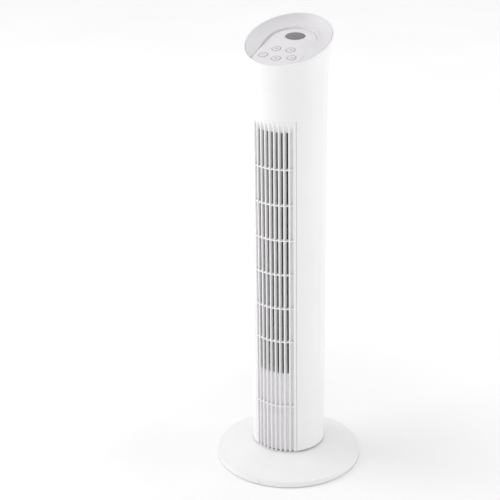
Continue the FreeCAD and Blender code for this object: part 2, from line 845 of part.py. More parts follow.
def scoop_edge(x, y, spread):
    """Where the line from the scoop's foot over the rim ends, a little above the rim."""
    foot = panel_point(x, y)
    centre = Vector(0, value("scoop_centre"), 0)
    outward = Vector(foot.x, foot.y, 0) - centre
    on_rim = centre + outward * ((value("scoop_radius") + spread) / outward.Length)
    on_rim.z = rim_height(on_rim.y)
    depth = rim_height(foot.y) - foot.z
    return foot + (on_rim - foot) * (1 + 8.0 / depth)


def panel_prism(half, height):
    """The panel's outline, straight sides and a round back, drawn up from under the faceplate."""
    bend = value("panel_straight")
    deep = value("panel_thick")
    corners = [Vector(-half, -90, -deep), Vector(half, -90, -deep), Vector(half, bend, -deep),
               Vector(0, bend + half, -deep), Vector(-half, bend, -deep)]
    edges = [
        Part.makeLine(corners[0], corners[1]),
        Part.makeLine(corners[1], corners[2]),
        Part.Arc(corners[2], corners[3], corners[4]).toShape(),
        Part.makeLine(corners[4], corners[0]),
    ]
    prism = Part.Face(Part.Wire(edges)).extrude(Vector(0, 0, height))
    prism.Placement = Placement(panel_point(0, 0), panel_turn())
    return prism


def scoop(grow):
    """The head's hollow: the panel's outline drawn up, and the wall that leans out to the rim."""
    prism = panel_prism(value("panel_half") + grow, 60)
    half = value("panel_half") + grow - value("panel_step")
    bend = value("panel_straight")
    front = -54.0
    side = [(half, front + (bend - front) * step / 6) for step in range(7)]
    turns = [math.pi * step / 12 for step in range(13)]
    back = [(half * math.cos(turn), bend + half * math.sin(turn)) for turn in turns]
    other = [(-x, y) for x, y in reversed(side)]
    low = [Part.makeLine(panel_point(-half, front), panel_point(half, front))]
    high = [Part.makeLine(scoop_edge(-half, front, grow), scoop_edge(half, front, grow))]
    for stretch in (side, back, other):
        low.append(spline([panel_point(x, y) for x, y in stretch]))
        high.append(spline([scoop_edge(x, y, grow) for x, y in stretch]))
    leaning = Part.makeLoft([Part.Wire(low), Part.Wire(high)], True, True)
    return prism.fuse(leaning)


def upright(radius, x, y, bottom, top):
    """A solid rod square to the panel."""
    normal = panel_turn().multVec(Vector(0, 0, 1))
    return Part.makeCylinder(radius, top - bottom, panel_point(x, y, bottom), normal)


def oval_tool(long, short, x, y, bottom, top):
    face = Part.Face(Part.Wire(Part.Ellipse(Vector(0, 0, 0), long, short).toShape()))
    tool = face.extrude(Vector(0, 0, top - bottom))
    tool.Placement = Placement(panel_point(x, y, bottom), panel_turn())
    return tool


def board_corners():
    return [(x, y) for x in (-28, 28) for y in (-44, 40)]


def head_cap():
    """The scooped cap: a thin skin from the rim down to the tray that holds the panel."""
    floor = value("tray_floor")
    under = scoop(floor)
    under.translate(Vector(0, 0, -floor - 0.5))
    shape = throat(0.1).common(under).cut(scoop(0))
    board = -value("board_top")
    for x, y in board_corners():
        shape = shape.fuse(upright(value("board_post"), x, y, board, -value("panel_thick") - 0.5))
    for x, y in board_corners():
        shape = shape.cut(upright(1.4, x, y, board - 1, -5.5))
    hole = value("button_radius + button_flange") + 0.5
    for x, y in BUTTONS.values():
        shape = shape.cut(upright(hole, float(x), float(y), -12, 1))
    window = (value("window_long") - 2, value("window_short") - 2)
    shape = shape.cut(oval_tool(*window, 0, value("window_y"), -12, 1))
    cap = DOC.addObject("Part::Feature", "head_cap")
    cap.Shape = shape.removeSplitter()
    node(cap, "head_cap")


def control_panel():
    """The flat faceplate, with an oval hole for the window and a round one for each button."""
    shape = panel_prism(value("panel_half") - 0.15, value("panel_thick")).common(throat(0.3))
    hole = value("button_radius + button_gap")
    for x, y in BUTTONS.values():
        shape = shape.cut(upright(hole, float(x), float(y), -5, 5))
    window = (value("window_long") + 0.15, value("window_short") + 0.15)
    shape = shape.cut(oval_tool(*window, 0, value("window_y"), -5, 5))
    plate = DOC.addObject("Part::Feature", "control_panel")
    plate.Shape = shape
    node(plate, "control_panel")


def display_window():
    lens = oval("window_long", "window_short", "panel_thick", "0", "0", "0")
    node(panel_frame(lens, "0", "window_y", "-panel_thick"), "display_window")


def button(label, x, y):
    """A push button: its round cap, the flange that keeps it in, and the stem over its switch."""
    height = "panel_thick + button_proud + 0.3"
    cap = rod("button_radius", height, z="-panel_thick - 0.3")
    flange = rod("button_radius + button_flange", "1.6", z="-panel_thick - 1.9")
    stem = rod("2", "4", z="-panel_thick - 5.5")
    node(panel_frame(fuse(cap, flange, stem), x, y), label)


def control_electronics():
    """The control board with its switches, display and receiver, hung under the tray."""
    top = "-board_top"
    plate = block("64", "96", "board_thick", "-32", "-50", f"{top} - board_thick")
    holes = [rod("1.5", "6", f"{x}", f"{y}", f"{top} - 4") for x, y in board_corners()]
    node(panel_frame(cut(plate, *holes)), "control_board")
    switches = []
    for x, y in BUTTONS.values():
        case = block("6", "6", "3.2", f"{x} - 3", f"{y} - 3", top)
        switches.append(fuse(case, rod("1.6", "1", x, y, f"{top} + 3.2")))
    panel_frame(group("tact_switches", switches))
    node(panel_frame(block("20", "14", "7.8"), "-13.5", "window_y - 7", top), "led_display")
    node(panel_frame(block("5", "5", "7"), "9", "window_y - 2.5", top), "ir_receiver")
    screws = []
    for x, y in board_corners():
        place = Vector(x, y, value(f"{top} - board_thick"))
        screws.append(placed(screw("1.4", "7", "2.8", "1.6"), place, UPSIDE_DOWN))
    panel_frame(group("board_screws", screws))


# ---------------------------------------------------------------- air path

def duct_plate(label, bottom, shaft_hole):
    """A round plate across the column, cut back behind the grille, with holes for shaft and wires."""
    piece = body(label)
    flat = sketch(piece, "XY_Plane", bottom)
    circle(flat, "0", "0", f"{cone_radius(bottom)} - shell_wall - 0.3")
    pad(piece, flat, "duct_plate")
    flat = sketch(piece, "YZ_Plane")
    clear = f"-({cone_radius(bottom)} - grille_depth - 0.3)"
    rectangle(flat, "-70", f"{bottom} - 5", clear, f"{bottom} + 9")
    revolve(piece, flat, "100", kind="Groove", midplane=True)
    flat = sketch(piece, "XY_Plane", f"{bottom} - 1")
    circle(flat, "0", "fan_centre", shaft_hole)
    circle(flat, "wires_x", "wires_y", "wire_hole")
    if label == "duct_floor":
        circle_of(flat, "mount_circle", 3, 30, "clear_hole", "fan_centre")
    pocket(piece, flat, "duct_plate + 3", Reversed=True)


def air_scroll():
    """The curved back of the air duct, from the intake round to the grille's left edge."""
    piece = body("air_scroll")
    flat = sketch(piece, "XY_Plane", "duct_floor_bottom + duct_plate + 0.2")
    outline(flat, [
        ("-31.3", "42.4"), ("-33.3", "-39.6", "55.1"), ("-30.9", "-39.6"), ("-28.8", "42.4", "-53.5"),
    ])
    pad(piece, flat, "duct_ceiling_bottom - duct_floor_bottom - duct_plate - 0.4")


def air_tongue():
    """The cut-off edge that parts outgoing air from the impeller, on the grille's right."""
    piece = body("air_tongue")
    flat = sketch(piece, "XY_Plane", "duct_floor_bottom + duct_plate + 0.2")
    outline(flat, [
        ("33.3", "-39.6"), ("46", "-28"), ("36.6", "-23.4", "-14"), ("35.4", "-24.8", "1"),
        ("43", "-28.2", "12"), ("30.9", "-39.6"),
    ])
    pad(piece, flat, "duct_ceiling_bottom - duct_floor_bottom - duct_plate - 0.4")


def impeller():
    """The cross-flow drum: a disc at each end, rings between, and forward-curved blades."""
    piece = body("impeller")
    flat = sketch(piece, "XZ_Plane")
    outline(flat, [
        ("shaft_radius", "fan_bottom"), ("fan_radius", "fan_bottom"), ("fan_radius", "fan_bottom + 2"),
        ("hub_radius", "fan_bottom + 2"), ("hub_radius", "fan_bottom + hub_height"),
        ("shaft_radius", "fan_bottom + hub_height"),
    ])
    revolve(piece, flat)
    flat = sketch(piece, "XY_Plane", "fan_bottom + 1")
    outline(flat, [
        ("32.6", "-0.7"), ("41.6", "-4.6", "12"), ("41.4", "-3.2"), ("32.6", "0.7", "-13"),
    ])
    blade = pad(piece, flat, "fan_top - fan_bottom - 2")
    drum = piece.newObject("PartDesign::PolarPattern", "Blades")
    drum.Originals = [blade]
    drum.Axis = (flat, ["N_Axis"])
    drum.Angle = 360
    drum.setExpression("Occurrences", bound("fan_blades"))
    piece.Tip = drum
    flat = sketch(piece, "XZ_Plane")
    for level in range(1, 6):
        height = f"(fan_bottom + {level} * (fan_top - fan_bottom) / 6)"
        rectangle(flat, "31", f"{height} - disc_thick / 2", "fan_radius", f"{height} + disc_thick / 2")
    outline(flat, [
        ("pin_radius", "fan_top"), ("pin_radius", "fan_top - 12"), ("8", "fan_top - 12"),
        ("8", "fan_top - 2"), ("fan_radius", "fan_top - 2"), ("fan_radius", "fan_top"),
    ])
    revolve(piece, flat)
    flat = sketch(piece, "YZ_Plane")
    circle(flat, "0", "fan_bottom + 9", "1.5")
    pocket(piece, flat, "12", Reversed=True)
    move(piece, y="fan_centre")


def fan_shafts():
    drive_foot = "motor_bottom - 6"
    drive_length = f"fan_bottom + hub_height - ({drive_foot})"
    drive = rod("shaft_radius", drive_length, "0", "fan_centre", drive_foot)
    node(drive, "drive_shaft")
    pin_foot = "fan_top - 12"
    pin = rod("pin_radius", f"duct_ceiling_bottom + 5 - ({pin_foot})", "0", "fan_centre", pin_foot)
    node(pin, "top_pin")
    grub = rod("1.5", "4.6")
    move(grub, "4.2", "fan_centre", "fan_bottom + 9")
    grub.Placement.Rotation = Rotation(Vector(0, 1, 0), 90)
    node(grub, "clamp_screw")
    ring("motor_rotor", "shaft_radius", "17.9", "motor_bottom + 10", "motor_top - 10", y="fan_centre")


def top_bearing():
    level = "duct_ceiling_bottom"
    ring("bearing_rubber", "6", "9", level, f"{level} + duct_plate", y="fan_centre")
    ring("bearing_bush", "pin_radius + running_gap", "6", f"{level} - 2", f"{level} + 5", y="fan_centre")


def fan_motor():
    turned("motor_can", [
        ("bearing_radius", "motor_bottom"), ("motor_radius", "motor_bottom"),
        ("motor_radius", "motor_top"), ("bearing_radius", "motor_top"),
        ("bearing_radius", "motor_top - 3"), ("motor_radius - motor_wall", "motor_top - 3"),
        ("motor_radius - motor_wall", "motor_bottom + 3"), ("bearing_radius", "motor_bottom + 3"),
    ], y="fan_centre")
    flat = sketch(NODES[-1], "XY_Plane", "motor_top - 4")
    circle_of(flat, "mount_circle", 3, 30, "thread_hole")
    pocket(NODES[-1], flat, "6", Reversed=True)
    can_bore = "motor_radius - motor_wall"
    ring("motor_stator", "18.5", can_bore, "motor_bottom + 10", "motor_top - 10", y="fan_centre")
    bearings = []
    for bottom in ("motor_bottom", "motor_top - 5"):
        sleeve = rod("bearing_radius", "5", "0", "fan_centre", bottom)
        bore = rod("shaft_radius + running_gap", "9", "0", "fan_centre", f"{bottom} - 2")
        bearings.append(cut(sleeve, bore))
    group("motor_bearings", bearings)
    mounts = []
    screws = []
    for turn in range(3):
        x = f"mount_circle * cos({30 + 120 * turn})"
        y = f"fan_centre + mount_circle * sin({30 + 120 * turn})"
        bush = rod("5", "duct_floor_bottom - motor_top", x, y, "motor_top")
        mounts.append(cut(bush, rod("clear_hole", "20", x, y, "motor_top - 5")))
        place = Vector(value(x), value(y), value("duct_floor_bottom + duct_plate"))
        screws.append(placed(screw("thread_hole", "12.5", "3", "2"), place))
    group("motor_mounts", mounts)
    group("motor_screws", screws)


def capacitor():
    node(block("16", "30", "28", "-30", "-22", "turn_top + 34"), "run_capacitor")


def wiring_harness():
    """The wires from the control board down the duct's side to the power board."""
    across = value("wires_x")
    behind = value("wires_y")
    route = [
        Vector(across, 8, 84),
        Vector(across, behind, 84),
        Vector(across, behind, 690),
        Vector(26, 28, 703),
    ]
    bends = (12.0, 9.0)
    edges = []
    start = route[0]
    for index, bend in enumerate(bends, start=1):
        arriving = (route[index] - route[index - 1]).normalize()
        leaving = (route[index + 1] - route[index]).normalize()
        half_turn = arriving.getAngle(leaving) / 2
        setback = bend * math.tan(half_turn)
        entry = route[index] - arriving * setback
        exit_point = route[index] + leaving * setback
        inward = (leaving - arriving).normalize()
        middle = route[index] + inward * (bend / math.cos(half_turn) - bend)
        edges.append(Part.makeLine(start, entry))
        edges.append(Part.Arc(entry, middle, exit_point).toShape())
        start = exit_point
    edges.append(Part.makeLine(start, route[-1]))
    path = Part.Wire(edges)
    section = Part.Wire(Part.makeCircle(2.0, route[0], (route[1] - route[0]).normalize()))
    harness = DOC.addObject("Part::Feature", "wiring_harness")
    harness.Shape = path.makePipeShell([section], True, False)
    node(harness, "wiring_harness")


# ---------------------------------------------------------------- build and write

def build():
    fill_sheet()
    base_half("base_left", -1)
    base_half("base_right", 1)
    base_plate()
    rubber_feet()
    base_screws()
    swivel_post()
    swivel_gears()
    turntable()
    turntable_screws()
    swing_drive()
    power_board()
    cord_gland()
    front_housing()
    rear_housing()
    housing_screws()
    front_grille()
    head_cap()
    control_panel()
    display_window()
    for label, (x, y) in BUTTONS.items():
        button(label, x, y)
    control_electronics()
    duct_plate("duct_floor", "duct_floor_bottom", "8")
    duct_plate("duct_ceiling", "duct_ceiling_bottom", "9")
    air_scroll()
    air_tongue()
    impeller()
    fan_shafts()
    top_bearing()
    fan_motor()
    capacitor()
    wiring_harness()
    DOC.recompute()


def check():
    for item in DOC.Objects:
        if {"Invalid", "Error"} & set(item.State):
            raise RuntimeError(f"{item.Label} failed: {item.State}")
    for piece in NODES:
        if piece.Shape.isNull() or not piece.Shape.isValid() or not piece.Shape.Solids:
            raise RuntimeError(f"{piece.Label} has no valid solid")


def write():
    os.makedirs("parts", exist_ok=True)
    for piece in NODES:
        piece.Shape.exportStep(f"parts/{piece.Label}.step")


build()
check()
write()
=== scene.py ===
import math

import bmesh
import bpy
from mathutils import Matrix, Vector


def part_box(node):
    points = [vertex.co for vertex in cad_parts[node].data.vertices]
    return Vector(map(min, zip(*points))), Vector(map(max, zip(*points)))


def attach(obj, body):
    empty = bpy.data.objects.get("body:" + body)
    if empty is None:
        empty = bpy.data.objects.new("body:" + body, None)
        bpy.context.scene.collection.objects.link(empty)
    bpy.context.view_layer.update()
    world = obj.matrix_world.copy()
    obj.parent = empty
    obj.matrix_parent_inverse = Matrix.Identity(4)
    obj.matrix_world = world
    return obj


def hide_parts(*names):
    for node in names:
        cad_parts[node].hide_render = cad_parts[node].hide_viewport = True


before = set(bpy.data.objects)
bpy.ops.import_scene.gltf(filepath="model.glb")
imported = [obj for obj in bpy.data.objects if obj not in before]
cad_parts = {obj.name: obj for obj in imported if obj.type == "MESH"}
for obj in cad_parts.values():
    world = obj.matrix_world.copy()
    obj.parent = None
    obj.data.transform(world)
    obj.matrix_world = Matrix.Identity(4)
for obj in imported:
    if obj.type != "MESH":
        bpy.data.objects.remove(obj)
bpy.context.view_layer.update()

MM = 0.001

# ---------------------------------------------------------------- sizes of the fan, in mm
# the column
FOOT_DROP = 1.5
FOOT_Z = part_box("front_housing")[0].z / MM - FOOT_DROP
FOOT_RADIUS = 61.0
NECK_Z = 650.0
NECK_RADIUS = 63.1
FLARE_RADIUS = 461.6
WALL = 2.4
RIM_CENTRE_Z = 732.4
RIM_SLOPE = math.tan(math.radians(20))
SEAM_ANGLE = 81.0
SEAM_GAP = 0.1
FLARE_ROWS = 14
SIDE_COLUMNS = 14
OPENING_COLUMNS = 26
SHELL_BEVEL = 0.3
BEVEL_ANGLE = math.radians(50)
RIM_SOLVES = 8

# the front grille: its grooves, and the bars that cross them
GRILLE_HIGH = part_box("front_grille")[1] / MM
GRILLE_HALF = GRILLE_HIGH.x
GRILLE_TOP = GRILLE_HIGH.z
GRILLE_BACK_Y = GRILLE_HIGH.y
GRILLE_GAP = 1.0
GRILLE_HEAD_GAP = 0.06
GROOVES = 9
OPEN_GROOVES = 7
GROOVE_PITCH = 7.8
GROOVE_WIDTH = 5.6
GROOVE_DEPTH = 6.7
GROOVE_DRAFT = 0.15
OUTER_TRIM = 1.0
RIB_ROUND = 0.7
INSERT_DEPTH = 9.0
RAMP_LOW, RAMP_HIGH = 600.0, 617.0
OPEN_LOW, OPEN_HIGH = 180.0, 600.0
FRONT_BARS = [120.0] + [240.0 + 60.0 * k for k in range(6)]
BAR_HEIGHT = 2.0
BAR_RECESS = 1.0
BAR_BACK = 8.5
BAR_MARGIN = 1.6
BAR_CORNER = 0.4
GROOVE_COLUMNS = 9
GROOVE_FLOOR_CELLS = (3, 4)
RIB_SHOULDER = 0.3

# the back: its slots and bars, and the holes for the screws and the lead
SLOTS = 11
SLOT_PITCH = 8.0
SLOT_WIDTH = 3.6
REAR_BARS = [240.0 + 60.0 * k for k in range(6)]
REAR_BAR_HEIGHT = 3.0
REAR_BAR_ANGLE = 48.0
REAR_BAR_BACK = 4.0
REAR_BAR_RECESS = 0.8
REAR_EDGE_COLUMNS = 6
REAR_PLAIN_X = 46.0
REAR_PLAIN_ZS = [44.0, 612.0, 640.0]
REAR_LOW_Z = 84.0
REAR_MIDDLE_ZS = (330.0, 360.0)
SCREW_X = 54.6
SCREW_ZS = (62.0, 345.0, 625.0)
SCREW_HOLE = 3.3
GLAND_Z = 62.0
GLAND_HOLE = 6.0
HOLE_STEPS = (-4.6, -2.3, 0.0, 2.3, 4.6)
HOLE_REACH = HOLE_STEPS[-1]
GLAND_REACH_X = 9.8
GLAND_REACH_Z = 9.0

# the control panel, its window and its buttons, on the panel's own tilted plane
PANEL_TILT = math.radians(14)
PANEL_Z = 724.95
PANEL_PLACE = Matrix.Translation((0, 0, PANEL_Z * MM)) @ Matrix.Rotation(PANEL_TILT, 4, "X")
PANEL_HALF = 40.0
PANEL_STRAIGHT = 15.6
PANEL_GAP = 0.5
PANEL_THICK = 2.0
PANEL_LIP_GAP = 0.25
PANEL_ROUND = 0.35
WINDOW_Y = 30.4
WINDOW_SIZE = (16.6, 12.6)
WINDOW_GAP = 0.15
BUTTON_SIZE = (7.7, 7.7)
WINDOW_CROWN = 0.35
WINDOW_PROUD = 0.1
WINDOW_SKIRT = 2.0
WINDOW_POINTS = 96
CAP_EDGE = ((1.0, 0.45), (0.985, 0.16), (0.955, 0.03))
CROWN_RINGS = (0.9, 0.8, 0.65, 0.5, 0.35, 0.2, 0.08)
CROWN_REACH = 0.93
BUTTON_GAP = 0.2
BUTTON_PROUD = 0.4
BUTTON_CROWN = 0.25
BUTTON_SKIRT = 4.0
BUTTONS = {
    "power": (0.0, -44.3),
    "speed": (11.7, -14.9),
    "timer": (-12.5, -14.9),
    "swing": (22.9, -37.6),
    "mode": (-24.6, -37.6),
}

# the printed marks on the buttons, and the dark rings near their edges, which are painted shade of the
# gaps round the keys
LEGEND_THICK = 0.08
LEGEND_ROUND = 0.02
LEGEND_HEIGHT = 0.22
# the ring is painted shade: a dark band near each key's edge that stands for the shadow in the gap round
# the key
SHADE_RING_HEIGHT = 0.02
SHADE_RING_WIDTH = 0.7
SHADE_RING_INSET = 0.5
STROKE = 0.55

# the scoop between the panel and the rim, and the rim's lip
SCOOP_CENTRE_Y = 4.9
SCOOP_GAP = 0.45
SCOOP_STEP = 3.6
SCOOP_DRAFT = 1.0
SCOOP_CREST = 2.6
SCOOP_POWER = 1.7
SCOOP_SKIN = 1.4
SCOOP_FOOT = 1.6
SCOOP_WALL = ((0.0, 0.12), (0.16, 0.25), (0.8, 0.78), (1.0, 0.9))
SCOOP_HEEL = (0.35, 0.97)
SCOOP_RISE_SHARE = 0.85
SCOOP_DRAFT_SHARE = 0.35
SCOOP_CREST_SHARE = 0.25
SCOOP_RIM_DROPS = (0.5, 3.0)
SCOOP_RIM_GAP = 0.2
SCOOP_LEAST_RUN = 0.02
SCOOP_RAYS = 150
LIP_ROUND = 0.8
LIP_STEPS = ((1.0, 0.0), (0.3, 0.3), (0.0, 1.0))
LIP_SOLVES = 20
CORNER_SOLVES = 30

# the base and the screw bosses under it
BASE_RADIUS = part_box("base_right")[1].x / MM
BASE_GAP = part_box("base_right")[0].z / MM
BASE_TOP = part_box("base_right")[1].z / MM
BASE_HOLE = 25.2
BASE_WALL = 2.5
BASE_SEAM = 0.05
RIM_TOP = 11.0
RIM_ROUND = 0.8
DOME_FOOT = (117.0, 11.6)
DOME_SHOULDER = (61.0, 31.5)
DOME_SWELL = 1.05
NOTCH_ANGLE = math.radians(0.56)
NOTCH_DEPTH = 0.9
NOTCH_STEPS = (0.98, 1.0, 1.5)
BOSS_CIRCLE = 92.0
BOSS_RADIUS = 4.0
BOSS_LOW, BOSS_HIGH = 4.0, 18.5
BOSS_HOLE = 1.5
BOSS_LEAD_IN = 0.5
BOSS_ANGLES = (30, 90, 150)
BASE_BEVEL = 0.15
BASE_COLUMNS = 90
ROUND_TURNS = [math.radians(15 * k) for k in range(24)]

# ---------------------------------------------------------------- camera and light, in metres
CAMERA_AZIMUTH = math.radians(24.4)
CAMERA_DISTANCE = 2.195
CAMERA_HEIGHT = 1.2955
CAMERA_YAW = -0.0285
CAMERA_PITCH = 0.3950
CAMERA_ROLL = -0.0133
CAMERA_LENS = 104.05
LIGHT_AIM = Vector((0, 0, 0.38))
WORLD_LIGHT = 0.70
FLOOR_GLOW = (0.03, 0.24)
GLOW_REACH = (0.25, 1.1)
STAGE_CELLS = 8
STAGE_REACH = 12.0

# name, azimuth from the camera, elevation (degrees), distance, size, power (watts)
LIGHTS = [
    ("key", -90.0, 30.0, 2.6, 2.2, 27.0),
    ("fill", 90.0, 14.0, 2.6, 1.4, 10.5),
    ("top", 0.0, 88.0, 2.6, 1.8, 8.0),
]


# ---------------------------------------------------------------- mesh helpers
def column_radius(z):
    """Outer radius of the column at a height."""
    if z <= NECK_Z:
        return FOOT_RADIUS + (NECK_RADIUS - FOOT_RADIUS) * (z - FOOT_Z) / (NECK_Z - FOOT_Z)
    rise = z - NECK_Z
    return NECK_RADIUS + FLARE_RADIUS - math.sqrt(FLARE_RADIUS ** 2 - rise ** 2)


def rim_z(angle, depth=0.0):
    """Height of the slanted rim plane where it cuts the column, or a skin depth inside it."""
    z = RIM_CENTRE_Z
    for _ in range(RIM_SOLVES):
        z = RIM_CENTRE_Z - RIM_SLOPE * math.cos(angle) * (column_radius(z) - depth)
    return z


def around(radius, angle, z):
    """A point on a circle about the column's axis; angle 0 is the front."""
    return Vector((radius * math.sin(angle), -radius * math.cos(angle), z))


def spread(start, stop, count):
    """Evenly spaced numbers from start to stop, both included."""
    return [start + (stop - start) * k / count for k in range(count + 1)]


def join_runs(*runs):
    """Runs of numbers end to end, with each shared end kept once."""
    merged = []
    for run in runs:
        for value in run:
            if not merged or abs(value - merged[-1]) > 1e-6:
                merged.append(value)
    return merged


def add_shell(bm, front, back, state=lambda i, j: 1):
    """A closed skin between two grids of points.

    Cells in state 0 are open, and cells in state 2 are filled later.
    """
    rows, cols = len(front), len(front[0])
    outer = [[bm.verts.new(p * MM) for p in row] for row in front]
    inner = [[bm.verts.new(p * MM) for p in row] for row in back]

    def kind(i, j):
        return state(i, j) if 0 <= i < rows - 1 and 0 <= j < cols - 1 else 0

    for i in range(rows - 1):
        for j in range(cols - 1):
            if kind(i, j) != 1:
                continue
            ring = [(i, j), (i, j + 1), (i + 1, j + 1), (i + 1, j)]
            beside = [(i - 1, j), (i, j + 1), (i + 1, j), (i, j - 1)]
            bm.faces.new([outer[a][b] for a, b in ring])
            bm.faces.new([inner[a][b] for a, b in reversed(ring)])
            for k, cell in enumerate(beside):
                if kind(*cell) == 0:
                    (a, b), (c, d) = ring[k], ring[(k + 1) % 4]
                    bm.faces.new([outer[c][d], outer[a][b], inner[a][b], inner[c][d]])
    return outer, inner


def add_hole(bm, outer, inner, block, centre, radius, skins):
    """Fills a block of cells round a circular hole that runs along Y."""
    i0, i1, j0, j1 = block
    loop = [(i0, j) for j in range(j0, j1)] + [(i, j1) for i in range(i0, i1)]
    loop += [(i1, j) for j in range(j1, j0, -1)] + [(i, j0) for i in range(i1, i0, -1)]
    rings = []
    for grid, skin in ((outer, skins[0]), (inner, skins[1])):
        ring = []
        for i, j in loop:
            corner = outer[i][j].co / MM
            turn = math.atan2(corner.z - centre[1], corner.x - centre[0])
            x = centre[0] + radius * math.cos(turn)
            z = centre[1] + radius * math.sin(turn)
            ring.append(bm.verts.new(skin(x, z) * MM))
        rings.append(ring)
        for k in range(len(loop)):
            (a, b), (c, d) = loop[k], loop[(k + 1) % len(loop)]
            bm.faces.new([grid[a][b], grid[c][d], ring[(k + 1) % len(loop)], ring[k]])
    for k in range(len(loop)):
        after = (k + 1) % len(loop)
        bm.faces.new([rings[0][k], rings[0][after], rings[1][after], rings[1][k]])


def add_arc(bm, section, angles):
    """Sweeps a closed section of (radius, height) points round the axis through the angles."""
    grid = [[bm.verts.new(around(r, a, z) * MM) for r, z in section] for a in angles]
    size = len(section)
    for low, high in zip(grid, grid[1:]):
        for k in range(size):
            after = (k + 1) % size
            bm.faces.new([low[k], low[after], high[after], high[k]])
    bm.faces.new(grid[0])
    bm.faces.new(list(reversed(grid[-1])))


def add_rings(bm, rings):
    """A closed solid from rings of points, first ring lowest."""
    grid = [[bm.verts.new(p * MM) for p in ring] for ring in rings]
    size = len(rings[0])
    for low, high in zip(grid, grid[1:]):
        for k in range(size):
            after = (k + 1) % size
            bm.faces.new([low[k], low[after], high[after], high[k]])
    bm.faces.new(list(reversed(grid[0])))
    bm.faces.new(grid[-1])


def section_box(low_r, high_r, low_z, high_z, corner):
    """A rectangle in (radius, height) with its outer corners cut."""
    return [
        (low_r, low_z),
        (high_r - corner, low_z),
        (high_r, low_z + corner),
        (high_r, high_z - corner),
        (high_r - corner, high_z),
        (low_r, high_z),
    ]


def make_piece(name, bm, body, slot, nodes=(), bevel=0.0, sharp=35.0, finish=None):
    """Turns a bmesh into a piece that rides a body and stands for its nodes.

    Its finish is its slot's unless another is named.
    """
    bmesh.ops.delete(bm, geom=[v for v in bm.verts if not v.link_faces], context="VERTS")
    bmesh.ops.recalc_face_normals(bm, faces=bm.faces[:])
    limit = math.radians(sharp)
    for face in bm.faces:
        face.smooth = True
    for edge in bm.edges:
        edge.smooth = len(edge.link_faces) == 2 and edge.calc_face_angle(0.0) < limit
    mesh = bpy.data.meshes.new(name)
    bm.to_mesh(mesh)
    bm.free()
    piece = bpy.data.objects.new(name, mesh)
    bpy.context.scene.collection.objects.link(piece)
    mesh.materials.append(FINISHES[finish or slot])
    if bevel:
        add_bevel(piece, bevel)
    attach(piece, body)
    for node in nodes:
        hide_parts(node)
    return piece


def add_bevel(piece, width):
    """Rounds the sharp edges by a small radius."""
    mod = piece.modifiers.new("rounding", "BEVEL")
    mod.width = width * MM
    mod.segments = 2
    mod.limit_method = "ANGLE"
    mod.angle_limit = BEVEL_ANGLE
    mod.harden_normals = True


# ---------------------------------------------------------------- finishes
class Graph:
    """A small helper for building a material's nodes."""

    def __init__(self, name):
        self.material = bpy.data.materials.new(name)
        self.material.use_nodes = True
        self.tree = self.material.node_tree
        self.shader = self.tree.nodes["Principled BSDF"]
        self.place = self.node("ShaderNodeTexCoord").outputs["Object"]

    def node(self, kind, **values):
        made = self.tree.nodes.new(kind)
        for key, value in values.items():
            setattr(made, key, value)
        return made

    def link(self, out, into):
        self.tree.links.new(out, into)

    def noise(self, scale, detail=2.0, rough=0.5, stretch=None):
        made = self.node("ShaderNodeTexNoise")
        made.inputs["Scale"].default_value = scale
        made.inputs["Detail"].default_value = detail
        made.inputs["Roughness"].default_value = rough
        source = self.place
        if stretch:
            mapping = self.node("ShaderNodeMapping")
            mapping.inputs["Scale"].default_value = stretch
            self.link(self.place, mapping.inputs["Vector"])
            source = mapping.outputs["Vector"]
        self.link(source, made.inputs["Vector"])
        return made.outputs["Fac"]

    def ramp(self, factor, stops):
        made = self.node("ShaderNodeValToRGB")
        band = made.color_ramp
        while len(band.elements) < len(stops):
            band.elements.new(0.5)
        for element, (position, colour) in zip(band.elements, stops):
            element.position = position
            element.color = (*colour, 1.0)
        self.link(factor, made.inputs["Fac"])
        return made.outputs["Color"]

    def reach(self):
        """How far a point is from the object's origin, in metres."""
        made = self.node("ShaderNodeVectorMath", operation="LENGTH")
        self.link(self.place, made.inputs[0])
        return made.outputs["Value"]

    def span(self, factor, low, high, start=0.3, end=0.7):
        made = self.node("ShaderNodeMapRange")
        made.inputs["From Min"].default_value = start
        made.inputs["From Max"].default_value = end
        made.inputs["To Min"].default_value = low
        made.inputs["To Max"].default_value = high
        self.link(factor, made.inputs["Value"])
        return made.outputs["Result"]

    def bump(self, height, strength, distance, under=None):
        made = self.node("ShaderNodeBump")
        made.inputs["Strength"].default_value = strength
        made.inputs["Distance"].default_value = distance
        self.link(height, made.inputs["Height"])
        if under:
            self.link(under, made.inputs["Normal"])
        return made.outputs["Normal"]

    def wire(self, colour=None, roughness=None, normal=None, glow=None, **fixed):
        sources = {
            "Base Color": colour, "Roughness": roughness, "Normal": normal, "Emission Strength": glow,
        }
        for socket, source in sources.items():
            if source:
                self.link(source, self.shader.inputs[socket])
        for socket, value in fixed.items():
            self.shader.inputs[socket.replace("_", " ")].default_value = value
        return self.material


def srgb(red, green, blue):
    """A colour given as 0-255 display values, in linear light."""
    return tuple(
        v / 12.92 if v <= 0.04045 else ((v + 0.055) / 1.055) ** 2.4
        for v in (red / 255, green / 255, blue / 255)
    )


def shade(colour, factor):
    """The same colour, lighter or darker."""
    return tuple(min(1.0, c * factor) for c in colour)


def moulded(name, colour, rough, grain=0.05, tint=0.03, coat=0.0):
    """Moulded plastic: faint cloudiness, a fine spark-eroded grain and slight sink in the gloss."""
    g = Graph(name)
    cloud = g.noise(11.0, 3.0, 0.6)
    base = g.ramp(cloud, [(0.3, shade(colour, 1.0 - tint)), (0.7, colour)])
    gloss = g.span(g.noise(70.0, 4.0, 0.6), rough - 0.04, rough + 0.05)
    skin = g.bump(g.noise(2600.0, 2.0, 0.6), grain, 0.0001)
    flow = g.bump(g.noise(26.0, 1.0, 0.4), 0.04, 0.0006, under=skin)
    return g.wire(base, gloss, flow, Coat_Weight=coat, Coat_Roughness=0.12)


